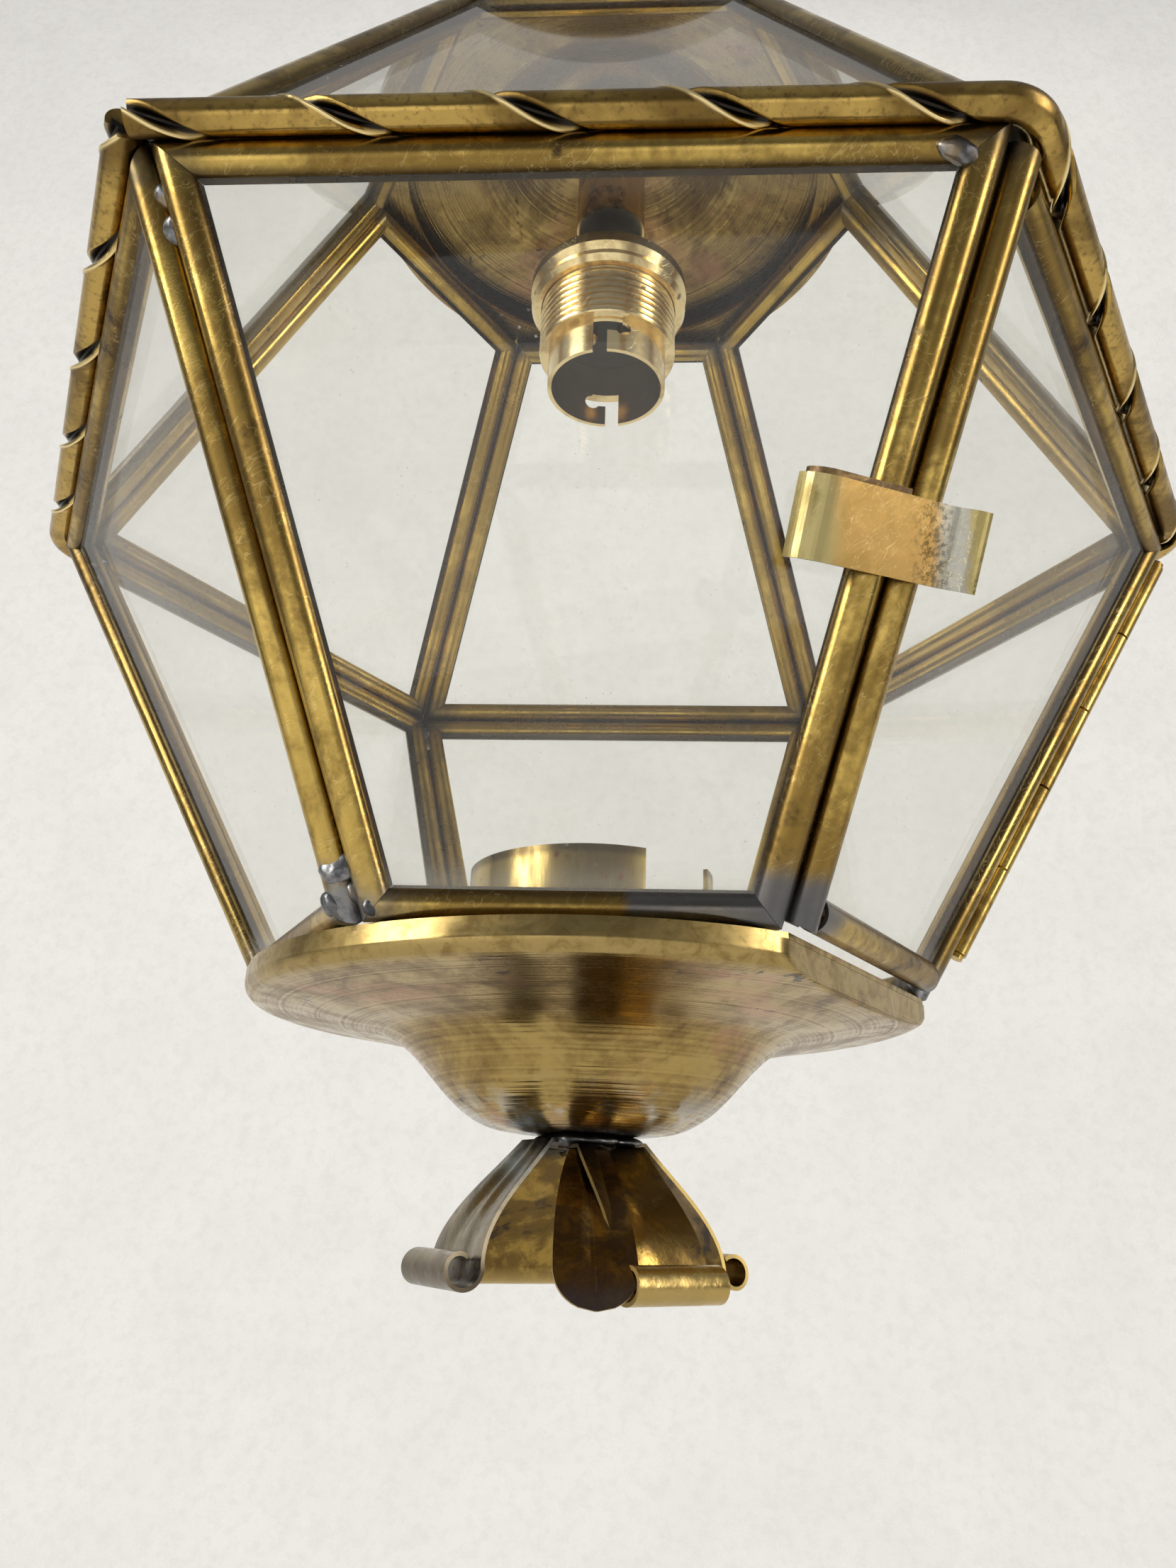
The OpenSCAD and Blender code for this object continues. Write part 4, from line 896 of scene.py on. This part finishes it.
def finial():
    """Three strips stacked under the dish: two end in scrolls and the third in petals."""
    upper_drop, lower_drop, petal_drop = (
        FINIAL_H - shorter - layer * LEAF_LEVEL for layer, shorter in ((1, 2.6), (2, 1.7), (3, 1)))
    upper = scroll_line(upper_drop, bend=8.6, reach=23.8, widths=(10, 18), taper=0.4)
    lower = scroll_line(lower_drop, bend=7.5, reach=23.2, widths=(12.5, 17), taper=0.2)
    petal = petal_line(petal_drop, bend=8.8, reach=27.0, widths=(6.0, 11.8))
    leaf_piece("finial_upper_leaves", "finial_scroll_upper", upper, 1,
               [(33, [(0.0, 0.8)], 0.0), (213, [(-0.25, 0.9), (0.45, 0.7)], 1.0)])
    leaf_piece("finial_lower_leaves", "finial_scroll_lower", lower, 2,
               [(-52.5, [(-0.55, 0.9)], 0.0), (118.5, [(-0.3, 0.7), (0.35, 0.8)], 0.0)])
    leaf_piece("finial_petal_pair", "finial_petals", petal, 3,
               [(-82, [(0.0, 0.8)], 0.0), (98, [(0.0, 0.8)], 0.0)])


finial()


# ---------------------------------------------------------------- contact springs

def coil_tree():
    """A coil of round wire that stands on its base."""
    tree = new_tree("spring_coil", [
        ("Base", "NodeSocketVector", (0.0, 0.0, 0.0)),
        ("Coil radius", "NodeSocketFloat", 0.0014),
        ("Wire radius", "NodeSocketFloat", 0.0002),
        ("Turns", "NodeSocketFloat", 4.0),
        ("Height", "NodeSocketFloat", 0.005),
        ("Finish", "NodeSocketMaterial", None),
    ])
    inp = wire(tree, "NodeGroupInput").outputs
    coil = wire(tree, "GeometryNodeCurveSpiral",
                [("Resolution", 24), ("Rotations", inp["Turns"]), ("Start Radius", inp["Coil radius"]),
                 ("End Radius", inp["Coil radius"]), ("Height", inp["Height"])])
    stood = wire(tree, "GeometryNodeTransform", [("Geometry", coil.outputs[0]), ("Translation", inp["Base"])])
    section = circle(tree, 10, inp["Wire radius"])
    finish_off(tree, swept(tree, stood.outputs[0], section), inp["Finish"])
    return tree


def contact_springs():
    """Coils of round wire, each sized and placed to fill its contact spring's box."""
    tree = coil_tree()
    wire_r = SPRING_WIRE_R / 1000
    for side in ("left", "right"):
        low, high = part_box("contact_spring_" + side)
        middle = (low + high) / 2
        foot = Vector((middle.x, middle.y, low.z + wire_r * 1.5))
        tall = high.z - low.z - wire_r * 3
        obj = grow("spring_coil_" + side, seed_mesh("spring_seed_" + side, []), tree, {
            "Base": tuple(foot),
            "Coil radius": (high.x - low.x) / 2 - wire_r * 1.5,
            "Wire radius": wire_r,
            "Turns": SPRING_TURNS,
            "Height": tall,
            "Finish": finishes["spring_steel"],
        })
        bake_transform(obj)
        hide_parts("contact_spring_" + side)


contact_springs()


# ---------------------------------------------------------------- solder

def bead_tree():
    """A lumpy blob, turned and squeezed at random, at each point."""
    tree = new_tree("solder_beads", [
        ("Bead size", "NodeSocketFloat", 0.003),
        ("Lumps", "NodeSocketFloat", 0.0006),
        ("Seed", "NodeSocketInt", 4),
        ("Finish", "NodeSocketMaterial", None),
    ])
    inp = wire(tree, "NodeGroupInput").outputs
    dots = wire(tree, "GeometryNodeMeshToPoints", [("Mesh", inp["Geometry"])])
    ball = wire(tree, "GeometryNodeMeshIcoSphere", [("Radius", inp["Bead size"]), ("Subdivisions", 4)])

    def scatter(low, high):
        return wire(tree, "FunctionNodeRandomValue", [(0, low), (1, high), ("Seed", inp["Seed"])],
                    data_type="FLOAT_VECTOR").outputs[0]

    turn = scatter((0, 0, 0), (6.28, 6.28, 6.28))
    size = scatter((0.55, 0.7, 0.45), (1.05, 1.25, 0.85))
    many = wire(tree, "GeometryNodeInstanceOnPoints",
                [("Points", dots.outputs[0]), ("Instance", ball.outputs[0]),
                 ("Rotation", turn), ("Scale", size)])
    real = wire(tree, "GeometryNodeRealizeInstances", [("Geometry", many.outputs[0])])
    cloud = wire(tree, "ShaderNodeTexNoise", [("Scale", 420.0), ("Detail", 2.0)])
    high = reckon(tree, "MULTIPLY", reckon(tree, "SUBTRACT", cloud.outputs[0], 0.5), inp["Lumps"])
    push = scaled(tree, wire(tree, "GeometryNodeInputNormal").outputs[0], high)
    lumpy = wire(tree, "GeometryNodeSetPosition", [("Geometry", real.outputs[0]), ("Offset", push)])
    finish_off(tree, lumpy.outputs[0], inp["Finish"])
    return tree


def solder_beads(name, lumps, size, seed, tree):
    obj = grow(name, seed_mesh(name + "_points", [around(*lump) for lump in lumps]), tree,
               {"Bead size": size / 1000, "Lumps": LUMP_RELIEF / 1000, "Seed": seed, "Finish": solder})
    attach(obj, "lantern")


def at_corners(lumps):
    """The same few lumps at each soldered corner."""
    return [(r, azimuth + turn, z) for azimuth in SOLDERED_CORNERS for r, turn, z in lumps]


def soldering():
    tree = bead_tree()
    solder_beads("girdle_solder", at_corners(GIRDLE_LUMPS) + list(BESIDE_DOOR), GIRDLE_LUMP, 4, tree)
    solder_beads("foot_solder", at_corners(FOOT_LUMPS), FOOT_LUMP, 9, tree)


soldering()


def finial_root():
    """Uneven ring of dark solder that joins the leaves to the dish."""
    verts, faces, rows, cols = [], [], 14, 72
    for i in range(rows + 1):
        a = math.pi * i / rows
        for j in range(cols):
            azimuth = 360 * j / cols
            b = math.radians(azimuth)
            swell = 1 + 0.10 * math.sin(3 * b + 0.6) + 0.07 * math.sin(7 * b + 2.0) + 0.04 * math.sin(13 * b)
            r = max(ROOT_R * swell * math.sin(a) ** 0.8, POLE_R)
            verts.append(around(r, azimuth, DISH_FOOT - ROOT_DROP + ROOT_H * math.cos(a) * swell))
    for i in range(rows):
        for j in range(cols):
            k = (j + 1) % cols
            faces.append((i * cols + j, (i + 1) * cols + j, (i + 1) * cols + k, i * cols + k))
    obj = stand("finial_root", sheet_mesh("finial_root", verts, faces, solder))
    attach(obj, "lantern")


finial_root()


# ---------------------------------------------------------------- stage, in the row's metres

FLOOR_Z, FLOOR_HALF, FLOOR_FRONT = -0.72, 2.6, -2.6
SWEEP_START, SWEEP_R, WALL_TOP = 0.25, 0.5, 2.6
LANTERN_MIDDLE = Vector((0, 0, -0.18))
PLASTER, PLASTER_SHADE, PLASTER_STAIN = (0.84, 0.825, 0.79), (0.81, 0.795, 0.765), (0.745, 0.725, 0.69)
GLOW_SHARE = 0.6        # share of the plaster's own glow in what the camera, metal and glass see
EYE, LENS_MM, FILM_MM = (0.0105, -0.1945, -0.300), 26.63, 36.0
LOOK, LEVEL = Vector((-0.0562, 0.9372, 0.3443)), Vector((0.9984, 0.0491, 0.0292))


def plaster_finish():
    """Pale plaster that keeps the lantern's shadow and partly glows where it is seen."""
    f = Finish("pale_plaster")
    tone = f.noise(60.0, 3.0, 0.6)
    fine = f.noise(9.0, 4.0, 0.65)
    colour = f.blend(f.window(tone, 0.3, 0.7), PLASTER, PLASTER_SHADE)
    colour = f.blend(f.window(fine, 0.42, 0.7, 0.0, 0.5), colour, PLASTER_STAIN)
    plaster = f.surface(colour, 0.85, f.bump(fine, 3.0, 0.6))
    glow = f.add("ShaderNodeEmission", [("Color", colour)]).outputs[0]
    paths = f.add("ShaderNodeLightPath").outputs
    reflected = f.calc("MAXIMUM", paths["Is Glossy Ray"], paths["Is Transmission Ray"])
    seen = f.calc("MAXIMUM", paths["Is Camera Ray"], reflected)
    return f.done(f.layer(f.calc("MULTIPLY", seen, GLOW_SHARE), plaster, glow))


def backdrop():
    """Pale floor that sweeps up into a wall, well clear of the lantern."""
    line = [(FLOOR_FRONT, FLOOR_Z), (SWEEP_START, FLOOR_Z)]
    for i in range(1, 17):
        a = math.radians(90 * i / 16)
        line.append((SWEEP_START + SWEEP_R * math.sin(a), FLOOR_Z + SWEEP_R - SWEEP_R * math.cos(a)))
    line.append((SWEEP_START + SWEEP_R, WALL_TOP))
    verts = [Vector((x, y, z)) for y, z in line for x in (-FLOOR_HALF, FLOOR_HALF)]
    faces = [(2 * i, 2 * i + 1, 2 * i + 3, 2 * i + 2) for i in range(len(line) - 1)]
    stand("pale_floor", sheet_mesh("pale_floor", verts, faces, plaster_finish()))


backdrop()


def lamp(name, spot, size, power, colour=(1, 1, 1), seen_in_glass=True):
    """A soft panel of light turned toward the lantern's middle."""
    light = bpy.data.lights.new(name, "AREA")
    light.shape = "RECTANGLE"
    light.size, light.size_y = size
    light.energy = power
    light.color = colour
    obj = stand(name, light)
    obj.location = spot
    obj.visible_camera = False
    obj.visible_transmission = False
    obj.visible_glossy = seen_in_glass
    obj.rotation_euler = (LANTERN_MIDDLE - Vector(spot)).to_track_quat("-Z", "Y").to_euler()


lamp("window_left", (-1.15, -0.75, 0.25), (0.6, 1.2), 17.0, (1.0, 0.98, 0.94))
lamp("window_right", (1.1, -0.55, 0.1), (0.3, 1.0), 9.0, (1.0, 0.96, 0.9))
lamp("from_below", (-0.35, -1.0, -0.62), (1.6, 0.6), 1.6)
lamp("top_soft", (0.1, 0.2, 1.1), (0.8, 0.8), 5.0, (1.0, 0.97, 0.92), seen_in_glass=False)


def soft_room():
    """Dim light from all round, darker below; the camera sees a pale wall there instead."""
    world = bpy.data.worlds.new("soft_room")
    bpy.context.scene.world = world
    world.use_nodes = True
    tree = world.node_tree
    tree.nodes.clear()
    where = wire(tree, "ShaderNodeTexCoord")
    split = wire(tree, "ShaderNodeSeparateXYZ", [(0, where.outputs["Generated"])])
    height = wire(tree, "ShaderNodeMapRange",
                  [("Value", split.outputs[2]), ("From Min", -0.5), ("From Max", 0.7),
                   ("To Min", 0.07), ("To Max", 0.30)], interpolation_type="SMOOTHSTEP")
    sky = wire(tree, "ShaderNodeBackground",
               [("Color", (0.97, 0.985, 1.0, 1)), ("Strength", height.outputs[0])])
    wall = wire(tree, "ShaderNodeBackground", [("Color", (*PLASTER, 1)), ("Strength", 0.95)])
    eyes = wire(tree, "ShaderNodeLightPath")
    choice = wire(tree, "ShaderNodeMixShader",
                  [(0, eyes.outputs["Is Camera Ray"]), (1, sky.outputs[0]), (2, wall.outputs[0])])
    wire(tree, "ShaderNodeOutputWorld", [(0, choice.outputs[0])])


soft_room()


def low_camera():
    """Looks up at the lantern from below its girdle, close by."""
    look, right = LOOK.normalized(), LEVEL.normalized()
    up = right.cross(look).normalized()
    camera = bpy.data.cameras.new("low_camera")
    camera.lens = LENS_MM
    camera.sensor_width = FILM_MM
    camera.clip_start = 0.01
    camera.clip_end = 20.0
    eye = stand("low_camera", camera)
    turn = Matrix((right, up, -look)).transposed().to_4x4()
    eye.matrix_world = Matrix.Translation(EYE) @ turn
    bpy.context.scene.camera = eye


low_camera()
bpy.context.scene.view_settings.view_transform = "Standard"
